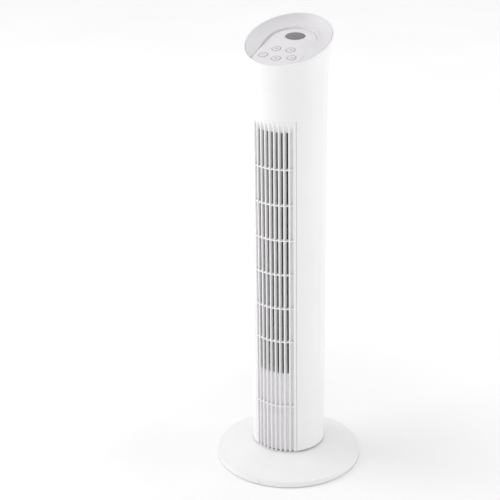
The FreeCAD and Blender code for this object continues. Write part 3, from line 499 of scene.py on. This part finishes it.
def glossy_lens(name, colour):
    """A smoked, slightly cloudy lens with a polished face."""
    g = Graph(name)
    base = g.ramp(g.noise(45.0, 2.0, 0.5), [(0.3, shade(colour, 0.9)), (0.7, shade(colour, 1.06))])
    gloss = g.span(g.noise(320.0, 4.0, 0.6), 0.16, 0.26)
    skin = g.bump(g.noise(900.0, 1.0, 0.5), 0.02, 0.0001)
    return g.wire(base, gloss, skin, Coat_Weight=0.35, Coat_Roughness=0.06)


def rubber(name, colour):
    """Matt rubber with a dusty bloom."""
    g = Graph(name)
    base = g.ramp(g.noise(90.0, 5.0, 0.65), [(0.3, colour), (0.75, shade(colour, 1.9))])
    gloss = g.span(g.noise(240.0, 3.0, 0.6), 0.68, 0.86)
    return g.wire(base, gloss, g.bump(g.noise(1700.0, 3.0, 0.6), 0.25, 0.0002))


def drawn_metal(name, colour, rough, stretch):
    """Metal with fine lines along its working direction and light staining."""
    g = Graph(name)
    stain = g.noise(60.0, 5.0, 0.65)
    lines = g.noise(900.0, 2.0, 0.5, stretch)
    base = g.ramp(stain, [(0.25, shade(colour, 0.82)), (0.75, shade(colour, 1.08))])
    gloss = g.span(lines, rough - 0.08, rough + 0.12)
    return g.wire(base, gloss, g.bump(lines, 0.12, 0.0001), Metallic=1.0)


def laminated(name, colour):
    """Stacked steel sheets seen from the side."""
    g = Graph(name)
    sheets = g.node("ShaderNodeTexWave", wave_type="BANDS", bands_direction="Z")
    sheets.inputs["Scale"].default_value = 160.0
    sheets.inputs["Distortion"].default_value = 0.4
    g.link(g.place, sheets.inputs["Vector"])
    base = g.ramp(sheets.outputs["Fac"], [(0.1, shade(colour, 0.45)), (0.6, colour)])
    gloss = g.span(g.noise(300.0, 3.0, 0.6), 0.38, 0.55)
    return g.wire(base, gloss, g.bump(sheets.outputs["Fac"], 0.5, 0.0002), Metallic=0.8)


def solder_mask(name, colour):
    """A circuit board's green mask with copper tracks under it."""
    g = Graph(name)
    cells = g.node("ShaderNodeTexVoronoi", feature="DISTANCE_TO_EDGE", distance="MANHATTAN")
    cells.inputs["Scale"].default_value = 210.0
    g.link(g.place, cells.inputs["Vector"])
    tracks = g.ramp(cells.outputs["Distance"], [(0.05, shade(colour, 1.9)), (0.12, colour)])
    gloss = g.span(g.noise(120.0, 3.0, 0.5), 0.24, 0.38)
    return g.wire(tracks, gloss, g.bump(cells.outputs["Distance"], 0.25, 0.0001))


def braided(name, colour):
    """A woven sleeve over a bundle of wires."""
    g = Graph(name)
    weave = g.node("ShaderNodeTexWave", wave_type="BANDS", bands_direction="DIAGONAL")
    weave.inputs["Scale"].default_value = 320.0
    weave.inputs["Distortion"].default_value = 1.5
    g.link(g.place, weave.inputs["Vector"])
    base = g.ramp(weave.outputs["Fac"], [(0.2, shade(colour, 0.7)), (0.8, shade(colour, 2.2))])
    gloss = g.span(g.noise(400.0, 3.0, 0.6), 0.5, 0.7)
    return g.wire(base, gloss, g.bump(weave.outputs["Fac"], 0.4, 0.0003))


FINISHES = {
    "white_shell": moulded("white_shell", srgb(246, 245, 246), 0.36),
    "panel_face": moulded("panel_face", srgb(229, 227, 230), 0.42, grain=0.04, tint=0.02),
    "dark_window": glossy_lens("dark_window", srgb(122, 117, 121)),
    "grey_plastic": moulded("grey_plastic", srgb(196, 196, 198), 0.48, grain=0.1, tint=0.06),
    "dark_plastic": moulded("dark_plastic", srgb(34, 34, 36), 0.42, grain=0.12, tint=0.2),
    "gear_plastic": moulded("gear_plastic", srgb(226, 221, 207), 0.34, grain=0.04, tint=0.05),
    "black_rubber": rubber("black_rubber", srgb(26, 26, 27)),
    "steel": drawn_metal("steel", srgb(186, 187, 190), 0.34, (1.0, 1.0, 0.05)),
    "bronze": drawn_metal("bronze", srgb(188, 142, 92), 0.4, (1.0, 1.0, 0.1)),
    "circuit_board": solder_mask("circuit_board", srgb(24, 84, 52)),
    "laminations": laminated("laminations", srgb(150, 148, 146)),
    "harness_sleeve": braided("harness_sleeve", srgb(30, 30, 32)),
    # the scoop: the head cap's white plastic made darker, as painted shade in the bowl round the panel
    "scoop_painted_shade": moulded("scoop_painted_shade", srgb(222, 220, 223), 0.4, grain=0.04, tint=0.02),
    # ink of the printed legends, also used for the rings of painted shade near the keys' edges
    "legend_ink_and_gap_shade": moulded("legend_ink_and_gap_shade", srgb(104, 101, 106), 0.5, grain=0.03),
}
SPECIAL_FINISH = {
    "motor_stator": "laminations",
    "motor_rotor": "laminations",
    "wiring_harness": "harness_sleeve",
}


def paint_nodes():
    """Gives every carried-over CAD node its procedural finish."""
    for name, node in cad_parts.items():
        for holder in node.material_slots:
            holder.material = FINISHES[SPECIAL_FINISH.get(name, holder.material.name)]


# ---------------------------------------------------------------- column
def column_rows():
    """Heights of the column's rows up to the flare; above it rows follow the slanted rim."""
    return join_runs(
        spread(FOOT_Z, OPEN_LOW, 8),
        spread(OPEN_LOW, OPEN_HIGH, 21),
        [GRILLE_TOP + GRILLE_HEAD_GAP],
        spread(GRILLE_TOP + GRILLE_HEAD_GAP, NECK_Z, 3),
    )


def skin_grid(rows, angles_at, depth):
    """Points on the column's surface, or on the same surface a depth inside it, up to the rounded lip."""
    grid = []
    for z in rows:
        grid.append([around(column_radius(z) - depth, a, z) for a in angles_at(z)])
    angles = angles_at(NECK_Z)
    tops = [rim_z(a, depth) for a in angles]
    for k in range(1, FLARE_ROWS):
        heights = [NECK_Z + (top - LIP_ROUND - NECK_Z) * k / FLARE_ROWS for top in tops]
        grid.append([around(column_radius(z) - depth, a, z) for a, z in zip(angles, heights)])
    side = LIP_ROUND if depth == 0.0 else -LIP_ROUND
    for down, inward in LIP_STEPS:
        heights = [top - down * LIP_ROUND for top in tops]
        inset = depth + inward * side
        grid.append([around(column_radius(z) - inset, a, z) for a, z in zip(angles, heights)])
    return grid


def front_angles(z):
    """Angles of the front housing's columns: seam, edge of the grille opening, and across the top."""
    seam = math.radians(SEAM_ANGLE) - SEAM_GAP / 2 / FOOT_RADIUS
    edge = math.asin((GRILLE_HALF + GRILLE_GAP) / column_radius(z))
    return join_runs(
        spread(-seam, -edge, SIDE_COLUMNS),
        spread(-edge, edge, OPENING_COLUMNS),
        spread(edge, seam, SIDE_COLUMNS),
    )


def front_housing():
    rows = column_rows()
    grille_row = rows.index(GRILLE_TOP + GRILLE_HEAD_GAP)

    def state(i, j):
        in_opening = SIDE_COLUMNS <= j < SIDE_COLUMNS + OPENING_COLUMNS
        return 0 if i < grille_row and in_opening else 1

    bm = bmesh.new()
    front = skin_grid(rows, front_angles, 0.0)
    back = skin_grid(rows, front_angles, WALL)
    add_shell(bm, front, back, state)
    return make_piece("front_shell", bm, "tower", "white_shell", ["front_housing"], bevel=SHELL_BEVEL)


def rear_xs():
    """Where the rear housing's columns stand across the back, from its right edge to its left."""
    slots = []
    for k in range(-(SLOTS // 2), SLOTS // 2 + 1):
        slots += [k * SLOT_PITCH - SLOT_WIDTH / 2, k * SLOT_PITCH + SLOT_WIDTH / 2]
    outer = [SCREW_X + step for step in reversed(HOLE_STEPS)] + [REAR_PLAIN_X]
    return outer + list(reversed(slots)) + [-x for x in reversed(outer)]


def rear_angles(z):
    """Angles of the rear housing's columns: from seam to seam round the back."""
    radius = column_radius(z)
    seam = math.radians(SEAM_ANGLE) + SEAM_GAP / 2 / FOOT_RADIUS
    middle = [math.pi - math.asin(x / radius) for x in rear_xs()]
    last = spread(middle[-1], 2 * math.pi - seam, REAR_EDGE_COLUMNS)
    return join_runs(spread(seam, middle[0], REAR_EDGE_COLUMNS), middle, last)


def rear_rows():
    """Heights of the rear housing's rows, with five close rows at each screw hole."""
    close = [z + step for z in SCREW_ZS for step in HOLE_STEPS]
    close += [GLAND_Z - GLAND_REACH_Z, GLAND_Z + GLAND_REACH_Z]
    below, above = REAR_MIDDLE_ZS
    plain = spread(REAR_LOW_Z, OPEN_LOW, 4) + spread(OPEN_LOW, below, 6) + spread(above, OPEN_HIGH, 8)
    return join_runs(sorted([FOOT_Z, NECK_Z] + REAR_PLAIN_ZS + close + plain))


def rear_skin(depth):
    """Gives the point of the rear surface at a width and a height."""
    def at(x, z):
        radius = column_radius(z) - depth
        return Vector((x, math.sqrt(radius ** 2 - x ** 2), z))
    return at


def nearest(values, target):
    """Index of the value nearest a target."""
    return min(range(len(values)), key=lambda k: abs(values[k] - target))


def hole_blocks(rows, xs):
    """The blocks of cells that hold the screw holes and the lead's hole."""
    first = REAR_EDGE_COLUMNS
    blocks = []
    for z in SCREW_ZS:
        for x in (SCREW_X, -SCREW_X):
            i0, i1 = nearest(rows, z - HOLE_REACH), nearest(rows, z + HOLE_REACH)
            j0, j1 = sorted((nearest(xs, x - HOLE_REACH), nearest(xs, x + HOLE_REACH)))
            blocks.append(((i0, i1, first + j0, first + j1), (x, z), SCREW_HOLE))
    i0, i1 = nearest(rows, GLAND_Z - GLAND_REACH_Z), nearest(rows, GLAND_Z + GLAND_REACH_Z)
    j0, j1 = sorted((nearest(xs, -GLAND_REACH_X), nearest(xs, GLAND_REACH_X)))
    blocks.append(((i0, i1, first + j0, first + j1), (0.0, GLAND_Z), GLAND_HOLE))
    return blocks


def rear_housing():
    rows, xs = rear_rows(), rear_xs()
    blocks = hole_blocks(rows, xs)
    slot_columns = {
        REAR_EDGE_COLUMNS + nearest(xs, k * SLOT_PITCH + SLOT_WIDTH / 2)
        for k in range(-(SLOTS // 2), SLOTS // 2 + 1)
    }
    low, high = nearest(rows, OPEN_LOW), nearest(rows, OPEN_HIGH)

    def state(i, j):
        for (i0, i1, j0, j1), _, _ in blocks:
            if i0 <= i < i1 and j0 <= j < j1:
                return 2
        return 0 if low <= i < high and j in slot_columns else 1

    bm = bmesh.new()
    front, back = skin_grid(rows, rear_angles, 0.0), skin_grid(rows, rear_angles, WALL)
    outer, inner = add_shell(bm, front, back, state)
    for block, centre, radius in blocks:
        add_hole(bm, outer, inner, block, centre, radius, (rear_skin(0.0), rear_skin(WALL)))
    sweep = math.radians(REAR_BAR_ANGLE)
    for z in REAR_BARS:
        radius = column_radius(z)
        low_z, high_z = z - REAR_BAR_HEIGHT / 2, z + REAR_BAR_HEIGHT / 2
        section = section_box(
            radius - REAR_BAR_BACK, radius - REAR_BAR_RECESS, low_z, high_z, BAR_CORNER
        )
        add_arc(bm, section, spread(math.pi - sweep, math.pi + sweep, 32))
    return make_piece("rear_shell", bm, "tower", "white_shell", ["rear_housing"], bevel=SHELL_BEVEL)


# ---------------------------------------------------------------- front grille
def groove_depth(z):
    """Depth of a groove at a height: full depth, then a ramp out to the surface."""
    return GROOVE_DEPTH * min(1.0, max(0.0, (RAMP_HIGH - z) / (RAMP_HIGH - RAMP_LOW)))


def grille_profile():
    """Columns of the grille across its width, as (x, level).

    Level 1 is a groove's floor, 0 is the skin, and below 0 is a rib's rounded corner.
    """
    half = GROOVE_WIDTH / 2
    columns = [(-GRILLE_HALF, 0.0)]
    for k in range(GROOVES):
        middle = (k - (GROOVES - 1) / 2) * GROOVE_PITCH
        left = middle - half + (OUTER_TRIM if k == 0 else 0.0)
        right = middle + half - (OUTER_TRIM if k == GROOVES - 1 else 0.0)
        columns += [
            (left - RIB_ROUND, 0.0), (left - RIB_SHOULDER * RIB_ROUND, -RIB_SHOULDER), (left, -1.0),
        ]
        columns += [(left + GROOVE_DRAFT, 1.0), (middle, 1.0), (right - GROOVE_DRAFT, 1.0)]
        columns += [
            (right, -1.0), (right + RIB_SHOULDER * RIB_ROUND, -RIB_SHOULDER), (right + RIB_ROUND, 0.0),
        ]
    columns.append((GRILLE_HALF, 0.0))
    return columns


def grille_point(x, level, z):
    """Front point of the grille: on the skin, on a rib's rounded corner, or on a groove's floor."""
    radius = column_radius(z)
    depth = groove_depth(z)
    if level > 0:
        sunk = depth
    else:
        sunk = -level * min(RIB_ROUND, depth)
    return Vector((x, sunk - math.sqrt(radius ** 2 - x ** 2), z))


def grille_back(x, z):
    """Back point of the grille insert."""
    radius = column_radius(z) - INSERT_DEPTH
    return Vector((x, min(GRILLE_BACK_Y, -math.sqrt(radius ** 2 - x ** 2)), z))


def front_grille():
    columns = grille_profile()
    rows = join_runs(
        spread(FOOT_Z, OPEN_LOW, 8),
        spread(OPEN_LOW, OPEN_HIGH, 28),
        spread(RAMP_LOW, RAMP_HIGH, 6),
        [GRILLE_TOP],
    )
    low, high = nearest(rows, OPEN_LOW), nearest(rows, OPEN_HIGH)
    closed = (GROOVES - OPEN_GROOVES) // 2

    def state(i, j):
        groove, place = divmod(j - 1, GROOVE_COLUMNS)
        is_floor = place in GROOVE_FLOOR_CELLS and closed <= groove < GROOVES - closed
        return 0 if low <= i < high and is_floor else 1

    bm = bmesh.new()
    front = [[grille_point(x, level, z) for x, level in columns] for z in rows]
    back = [[grille_back(x, z) for x, _ in columns] for z in rows]
    add_shell(bm, front, back, state)
    for z in FRONT_BARS:
        radius = column_radius(z)
        edge = math.asin((GRILLE_HALF - BAR_MARGIN) / radius)
        low_z, high_z = z - BAR_HEIGHT / 2, z + BAR_HEIGHT / 2
        section = section_box(radius - BAR_BACK, radius - BAR_RECESS, low_z, high_z, BAR_CORNER)
        add_arc(bm, section, spread(-edge, edge, 30))
    return make_piece("grille_ribs", bm, "tower", "white_shell", ["front_grille"], sharp=50.0)


# ---------------------------------------------------------------- control panel
def panel_point(x, y, z=0.0):
    """A point given on the panel's own plane, in the fan's frame, in mm."""
    return PANEL_PLACE @ (Vector((x, y, z)) * MM) / MM


def front_limit(x, gap):
    """Where the panel's front edge meets the housing wall, on the panel's plane."""
    y = -60.0
    for _ in range(RIM_SOLVES):
        world = panel_point(x, y)
        radius = column_radius(world.z) - WALL - gap
        y = -math.sqrt(radius ** 2 - x ** 2) / math.cos(PANEL_TILT)
    return y


def panel_outline(inset):
    """The panel's edge on its own plane: front arc, right side, round back, left side."""
    half = PANEL_HALF - inset
    front = [(x, front_limit(x, PANEL_LIP_GAP)) for x in spread(-half, half, 24)]
    side = front[-1][1]
    right = [(half, y) for y in spread(side, PANEL_STRAIGHT, 10)]
    turn = [math.radians(a) for a in spread(0, 180, 40)]
    back = [(half * math.cos(a), PANEL_STRAIGHT + half * math.sin(a)) for a in turn]
    left = [(-half, y) for y in spread(PANEL_STRAIGHT, side, 10)]
    return front[:-1] + right[:-1] + back[:-1] + left[:-1]


def oval(centre, size, count=64, grow=0.0):
    """Points of an oval on the panel's plane."""
    turns = [2 * math.pi * k / count for k in range(count)]
    return [
        (centre[0] + (size[0] + grow) * math.cos(a), centre[1] + (size[1] + grow) * math.sin(a))
        for a in turns
    ]


def flat_plate(name, loops, thickness, rounding, place):
    """A bmesh of a plate with holes and rounded edges, from closed loops on its own plane."""
    curve = bpy.data.curves.new(name, "CURVE")
    curve.dimensions = "2D"
    curve.fill_mode = "BOTH"
    curve.extrude = (thickness / 2 - rounding) * MM
    curve.bevel_depth = rounding * MM
    curve.bevel_resolution = 2
    curve.offset = -rounding * MM
    for loop in loops:
        line = curve.splines.new("POLY")
        line.points.add(len(loop) - 1)
        line.use_cyclic_u = True
        for point, (x, y) in zip(line.points, loop):
            point.co = (x * MM, y * MM, 0.0, 1.0)
    holder = bpy.data.objects.new(name, curve)
    bpy.context.scene.collection.objects.link(holder)
    bpy.context.view_layer.update()
    evaluated = holder.evaluated_get(bpy.context.evaluated_depsgraph_get())
    mesh = bpy.data.meshes.new_from_object(evaluated)
    bm = bmesh.new()
    bm.from_mesh(mesh)
    bpy.data.objects.remove(holder)
    bpy.data.curves.remove(curve)
    bpy.data.meshes.remove(mesh)
    bmesh.ops.remove_doubles(bm, verts=bm.verts[:], dist=1e-7)
    bmesh.ops.transform(bm, matrix=place, verts=bm.verts[:])
    return bm


def control_panel():
    holes = [oval(centre, BUTTON_SIZE, grow=BUTTON_GAP) for centre in BUTTONS.values()]
    holes.append(oval((0.0, WINDOW_Y), WINDOW_SIZE, WINDOW_POINTS, WINDOW_GAP))
    sink = Matrix.Translation((0, 0, -PANEL_THICK / 2 * MM))
    loops = [panel_outline(PANEL_GAP)] + holes
    bm = flat_plate("panel_outline", loops, PANEL_THICK, PANEL_ROUND, PANEL_PLACE @ sink)
    return make_piece("panel_plate", bm, "tower", "panel_face", ["control_panel"], sharp=25.0)


def domed_oval(centre, size, crown, proud, skirt, count=64):
    """Rings of a domed oval cap on the panel's plane, from the foot of its skirt to its crown."""
    steps = [(1.0, proud - skirt)] + [(f, proud - drop) for f, drop in CAP_EDGE]
    steps += [(f, proud + crown * (1 - (f / CROWN_REACH) ** 2)) for f in CROWN_RINGS]
    rings = []
    for factor, height in steps:
        ring = []
        for k in range(count):
            a = 2 * math.pi * k / count
            x = centre[0] + size[0] * factor * math.cos(a)
            y = centre[1] + size[1] * factor * math.sin(a)
            ring.append(panel_point(x, y, height))
        rings.append(ring)
    return rings


def display_window():
    bm = bmesh.new()
    add_rings(bm, domed_oval(
        (0.0, WINDOW_Y), WINDOW_SIZE, WINDOW_CROWN, WINDOW_PROUD, WINDOW_SKIRT, WINDOW_POINTS
    ))
    return make_piece("window_lens", bm, "tower", "dark_window", ["display_window"], sharp=60.0)


def bar(centre, length, width, turn=0.0):
    """Corners of a straight stroke."""
    along = Vector((math.cos(turn), math.sin(turn))) * length / 2
    across = Vector((-math.sin(turn), math.cos(turn))) * width / 2
    middle = Vector(centre)
    return [
        middle + along + across,
        middle - along + across,
        middle - along - across,
        middle + along - across,
    ]


def arc_stroke(centre, radius, start, stop, width, count=18):
    """Corners of a curved stroke of a constant width."""
    turns = spread(math.radians(start), math.radians(stop), count)
    outer = [(radius + width / 2, a) for a in turns]
    inner = [(radius - width / 2, a) for a in reversed(turns)]
    return [Vector(centre) + Vector((r * math.cos(a), r * math.sin(a))) for r, a in outer + inner]


def wave_stroke(length, height, width, count=20):
    """Corners of one wave."""
    xs = spread(-length / 2, length / 2, count)
    top = [Vector((x, height * math.sin(2 * math.pi * x / length) + width / 2)) for x in xs]
    low = [Vector((x, height * math.sin(2 * math.pi * x / length) - width / 2)) for x in reversed(xs)]
    return top + low


def arrow(centre, size, side):
    """Corners of an arrowhead pointing left or right."""
    x, y = centre
    return [Vector((x + side * size, y)), Vector((x, y + size * 0.8)), Vector((x, y - size * 0.8))]


LEGENDS = {
    "power": [arc_stroke((0, 0), 2.1, 125, 415, STROKE), bar((0, 1.5), 2.2, STROKE, math.pi / 2)],
    "speed": [bar((2.0 * k - 2.0, 0.5 * k - 0.5), 1.6 + 1.2 * k, 0.9, math.pi / 2) for k in range(3)],
    "timer": [
        arc_stroke((0, 0), 2.1, 0, 178, STROKE),
        arc_stroke((0, 0), 2.1, 182, 358, STROKE),
        bar((0, 0.7), 1.5, STROKE, math.pi / 2),
        bar((0.95, -0.2), 1.2, STROKE),
    ],
    "swing": [bar((0, 0), 3.6, STROKE), arrow((2.0, 0), 1.5, 1), arrow((-2.0, 0), 1.5, -1)],
    "mode": [
        wave_stroke(6.0, 0.8, STROKE),
        [p + Vector((0, 2.0)) for p in wave_stroke(6.0, 0.8, STROKE)],
    ],
}


def print_and_shade_on(name, loops, body, place):
    """A thin dark mark from closed loops on the panel's plane; it draws the printed legends and the rings
    of painted shade near the keys' edges.
    """
    bm = flat_plate(name, loops, LEGEND_THICK, LEGEND_ROUND, place)
    return make_piece(name, bm, body, "dark_window", sharp=25.0, finish="legend_ink_and_gap_shade")


def buttons():
    for name, centre in BUTTONS.items():
        bm = bmesh.new()
        add_rings(bm, domed_oval(centre, BUTTON_SIZE, BUTTON_CROWN, BUTTON_PROUD, BUTTON_SKIRT))
        make_piece(f"{name}_cap", bm, f"{name}_key", "panel_face", [f"{name}_button"], sharp=60.0)
        crown = Matrix.Translation(Vector((*centre, BUTTON_PROUD + LEGEND_HEIGHT)) * MM)
        print_and_shade_on(f"{name}_legend", LEGENDS[name], f"{name}_key", PANEL_PLACE @ crown)
        # a dark ring near each key's edge: painted shade that stands for the shadow in the gap round the
        # key
        insets = (SHADE_RING_INSET, SHADE_RING_INSET + SHADE_RING_WIDTH)
        edges = [oval(centre, BUTTON_SIZE, grow=-inset) for inset in insets]
        face = Matrix.Translation((0, 0, (BUTTON_PROUD + SHADE_RING_HEIGHT) * MM))
        print_and_shade_on(f"{name}_ring", edges, f"{name}_key", PANEL_PLACE @ face)


# ---------------------------------------------------------------- base
def base_section():
    """Points (radius, height) over the base's skin, from its middle hole to its rim's foot."""
    (foot_r, foot_z), (top_r, top_z) = DOME_FOOT, DOME_SHOULDER
    section = [(BASE_HOLE, BASE_TOP), ((BASE_HOLE + top_r) / 2, (BASE_TOP + top_z) / 2)]
    chord = Vector((foot_r - top_r, foot_z - top_z))
    out = Vector((-chord.y, chord.x)).normalized()
    for part in spread(0.0, 1.0, 14):
        point = Vector((top_r, top_z)) + chord * part + out * DOME_SWELL * 4 * part * (1 - part)
        section.append((point.x, point.y))
    for turn in spread(0.0, math.pi / 2, 4):
        across = BASE_RADIUS - RIM_ROUND * (1 - math.sin(turn))
        section.append((across, RIM_TOP - RIM_ROUND * (1 - math.cos(turn))))
    return section + [(BASE_RADIUS, BASE_GAP)]


def add_boss(bm, spot):
    """A screw boss: an upright tube with a shallow lead-in at its mouth."""
    walls = [
        (BOSS_RADIUS, BOSS_HIGH), (BOSS_RADIUS, BOSS_LOW), (BOSS_HOLE + BOSS_LEAD_IN, BOSS_LOW),
        (BOSS_HOLE, BOSS_LOW + BOSS_LEAD_IN), (BOSS_HOLE, BOSS_HIGH),
    ]
    rings = [[spot + around(r, turn, z) for turn in ROUND_TURNS] for r, z in walls]
    grid = [[bm.verts.new(p * MM) for p in ring] for ring in rings]
    for low, high in zip(grid, grid[1:] + grid[:1]):
        for k in range(len(ROUND_TURNS)):
            after = (k + 1) % len(ROUND_TURNS)
            bm.faces.new([low[k], low[after], high[after], high[k]])


def base_half(name, side):
    """One half of the base's skin with its screw bosses; the right half has the notch in the rim."""
    section = base_section()
    under = [(min(r, BASE_RADIUS - BASE_WALL), z - BASE_WALL) for r, z in section[:-1]]
    under.append((BASE_RADIUS - BASE_WALL, BASE_GAP))
    inner, edge, outer = (NOTCH_ANGLE * step for step in NOTCH_STEPS)
    angles = [0.0, inner, edge, *spread(outer, math.pi, BASE_COLUMNS)]
    front, back = [], []
    for angle in angles:
        notched = side > 0 and angle < NOTCH_ANGLE
        limit = BASE_RADIUS - NOTCH_DEPTH if notched else BASE_RADIUS
        for rows, points in ((front, section), (back, under)):
            row = [around(min(r, limit), angle, z) for r, z in points]
            rows.append([Vector((side * max(BASE_SEAM, p.x), p.y, p.z)) for p in row])
    bm = bmesh.new()
    add_shell(bm, front, back)
    for angle in BOSS_ANGLES:
        spot = around(BOSS_CIRCLE, math.radians(angle), 0.0)
        add_boss(bm, Vector((side * spot.x, spot.y, 0.0)))
    return make_piece(f"{name}_shell", bm, "base", "white_shell", [name], bevel=BASE_BEVEL)


# ---------------------------------------------------------------- head cap
def outline_ray(angle):
    """Where a ray from the scoop's centre meets the edge of the panel's recess, in plan."""
    dx, dy = math.sin(angle), -math.cos(angle)
    squeeze = math.cos(PANEL_TILT)
    straight = PANEL_STRAIGHT * squeeze
    reach = PANEL_HALF / abs(dx) if abs(dx) > 1e-9 else 1e9
    if SCOOP_CENTRE_Y + reach * dy <= straight:
        return Vector((reach * dx, SCOOP_CENTRE_Y + reach * dy))
    a = (dx / PANEL_HALF) ** 2 + (dy / (PANEL_HALF * squeeze)) ** 2
    b = 2 * dy * (SCOOP_CENTRE_Y - straight) / (PANEL_HALF * squeeze) ** 2
    c = ((SCOOP_CENTRE_Y - straight) / (PANEL_HALF * squeeze)) ** 2 - 1
    reach = (-b + math.sqrt(b * b - 4 * a * c)) / (2 * a)
    return Vector((reach * dx, SCOOP_CENTRE_Y + reach * dy))


def lip_ray(angle, gap):
    """Where a ray from the scoop's centre meets the inside of the rim, in plan and height."""
    dx, dy = math.sin(angle), -math.cos(angle)
    reach = NECK_RADIUS
    for _ in range(LIP_SOLVES):
        x, y = reach * dx, SCOOP_CENTRE_Y + reach * dy
        z = RIM_CENTRE_Z + RIM_SLOPE * y
        wanted = column_radius(z) - WALL - gap
        reach += wanted - math.hypot(x, y)
    y = SCOOP_CENTRE_Y + reach * dy
    return Vector((reach * dx, y, RIM_CENTRE_Z + RIM_SLOPE * y))


def corner_angle():
    """The ray, from the scoop's centre, where the panel's straight side meets the rim."""
    low, high = math.radians(20), math.radians(60)
    for _ in range(CORNER_SOLVES):
        middle = (low + high) / 2
        if lip_ray(middle, SCOOP_GAP).x < PANEL_HALF:
            low = middle
        else:
            high = middle
    return high


def scoop_profile(run, rise):
    """The scoop's section from panel to rim: drafted wall, rounded crest, concave rise."""
    step = min(SCOOP_STEP, SCOOP_RISE_SHARE * rise)
    size = step / SCOOP_STEP
    draft = min(SCOOP_DRAFT * size, SCOOP_DRAFT_SHARE * run)
    crest = min(SCOOP_CREST * size, SCOOP_CREST_SHARE * run)
    wall = [(0.0, -SCOOP_FOOT)] + [(across * draft, up * step) for across, up in SCOOP_WALL]
    wall.append((draft + SCOOP_HEEL[0] * crest, SCOOP_HEEL[1] * step))
    start = draft + crest
    for part in spread(0.0, 1.0, 16):
        wall.append((start + (run - start) * part, step + (rise - step) * part ** SCOOP_POWER))
    return wall + [(run, rise - drop) for drop in SCOOP_RIM_DROPS]


def head_cap():
    start = corner_angle()
    front, back = [], []
    for angle in spread(start, 2 * math.pi - start, SCOOP_RAYS):
        inner = outline_ray(angle)
        outer = lip_ray(angle, SCOOP_GAP)
        base = PANEL_Z + math.tan(PANEL_TILT) * inner.y
        run = max(SCOOP_LEAST_RUN, (outer.xy - inner).length)
        rise = max(0.0, outer.z - SCOOP_RIM_GAP - base)
        away = (outer.xy - inner) / run
        section = scoop_profile(run, rise)
        front.append([Vector((*(inner + away * d), base + h)) for d, h in section])
        under = [(d + SCOOP_SKIN * (1 - 2 * d / run), h - SCOOP_SKIN) for d, h in section]
        back.append([Vector((*(inner + away * d), base + h)) for d, h in under])
    bm = bmesh.new()
    add_shell(bm, front, back)
    # the darker scoop finish is painted shade in the bowl; the piece itself is moulded in the white
    # shell's plastic
    return make_piece(
        "scoop_shell", bm, "tower", "white_shell", ["head_cap"], sharp=60.0, finish="scoop_painted_shade"
    )


# ---------------------------------------------------------------- stage, light and camera
def add_camera():
    data = bpy.data.cameras.new("photo_camera")
    data.lens = CAMERA_LENS
    camera = bpy.data.objects.new("photo_camera", data)
    bpy.context.scene.collection.objects.link(camera)
    ahead = Vector((
        math.sin(CAMERA_YAW) * math.cos(CAMERA_PITCH),
        math.cos(CAMERA_YAW) * math.cos(CAMERA_PITCH),
        -math.sin(CAMERA_PITCH),
    ))
    level = Vector((math.cos(CAMERA_YAW), -math.sin(CAMERA_YAW), 0.0))
    above = level.cross(ahead)
    right = math.cos(CAMERA_ROLL) * level + math.sin(CAMERA_ROLL) * above
    up = -math.sin(CAMERA_ROLL) * level + math.cos(CAMERA_ROLL) * above
    axes = Matrix((right, up, -ahead)).transposed().to_4x4()
    swing = Matrix.Rotation(CAMERA_AZIMUTH, 4, "Z")
    camera.matrix_world = swing @ Matrix.Translation((0, -CAMERA_DISTANCE, CAMERA_HEIGHT)) @ axes
    bpy.context.scene.camera = camera


def add_area(name, azimuth, elevation, distance, size, power):
    """A soft square light aimed at the column's middle, placed by azimuth from the camera's side."""
    data = bpy.data.lights.new(name, "AREA")
    data.size = size
    data.energy = power
    light = bpy.data.objects.new(name, data)
    bpy.context.scene.collection.objects.link(light)
    turn, lift = CAMERA_AZIMUTH + math.radians(azimuth), math.radians(elevation)
    away = Vector((
        math.sin(turn) * math.cos(lift),
        -math.cos(turn) * math.cos(lift),
        math.sin(lift),
    ))
    light.location = LIGHT_AIM + away * distance
    light.rotation_euler = away.to_track_quat("Z", "Y").to_euler()


def add_stage():
    g = Graph("pale_floor")
    paint = g.ramp(g.noise(3.0, 3.0, 0.5), [(0.3, (0.93, 0.93, 0.93)), (0.7, (0.96, 0.96, 0.96))])
    gloss = g.span(g.noise(40.0, 3.0, 0.5), 0.8, 0.9)
    glow = g.span(g.reach(), *FLOOR_GLOW, *GLOW_REACH)
    grain = g.bump(g.noise(300.0, 2.0, 0.5), 0.02, 0.0005)
    white = (1.0, 1.0, 1.0, 1.0)
    g.wire(paint, gloss, grain, glow, Specular_IOR_Level=0.1, Emission_Color=white)
    bm = bmesh.new()
    bmesh.ops.create_grid(
        bm, x_segments=STAGE_CELLS, y_segments=STAGE_CELLS, size=STAGE_REACH
    )
    mesh = bpy.data.meshes.new("floor")
    bm.to_mesh(mesh)
    bm.free()
    mesh.materials.append(g.material)
    floor = bpy.data.objects.new("floor", mesh)
    bpy.context.scene.collection.objects.link(floor)


def add_world():
    world = bpy.data.worlds.new("studio")
    world.use_nodes = True
    sky = world.node_tree.nodes["Background"]
    sky.inputs["Color"].default_value = (1.0, 1.0, 1.0, 1.0)
    sky.inputs["Strength"].default_value = WORLD_LIGHT
    bpy.context.scene.world = world


def build():
    paint_nodes()
    front_housing()
    rear_housing()
    front_grille()
    control_panel()
    display_window()
    buttons()
    head_cap()
    base_half("base_left", -1)
    base_half("base_right", 1)
    add_stage()
    add_world()
    for light in LIGHTS:
        add_area(*light)
    add_camera()
    bpy.context.scene.view_settings.view_transform = "Standard"


build()
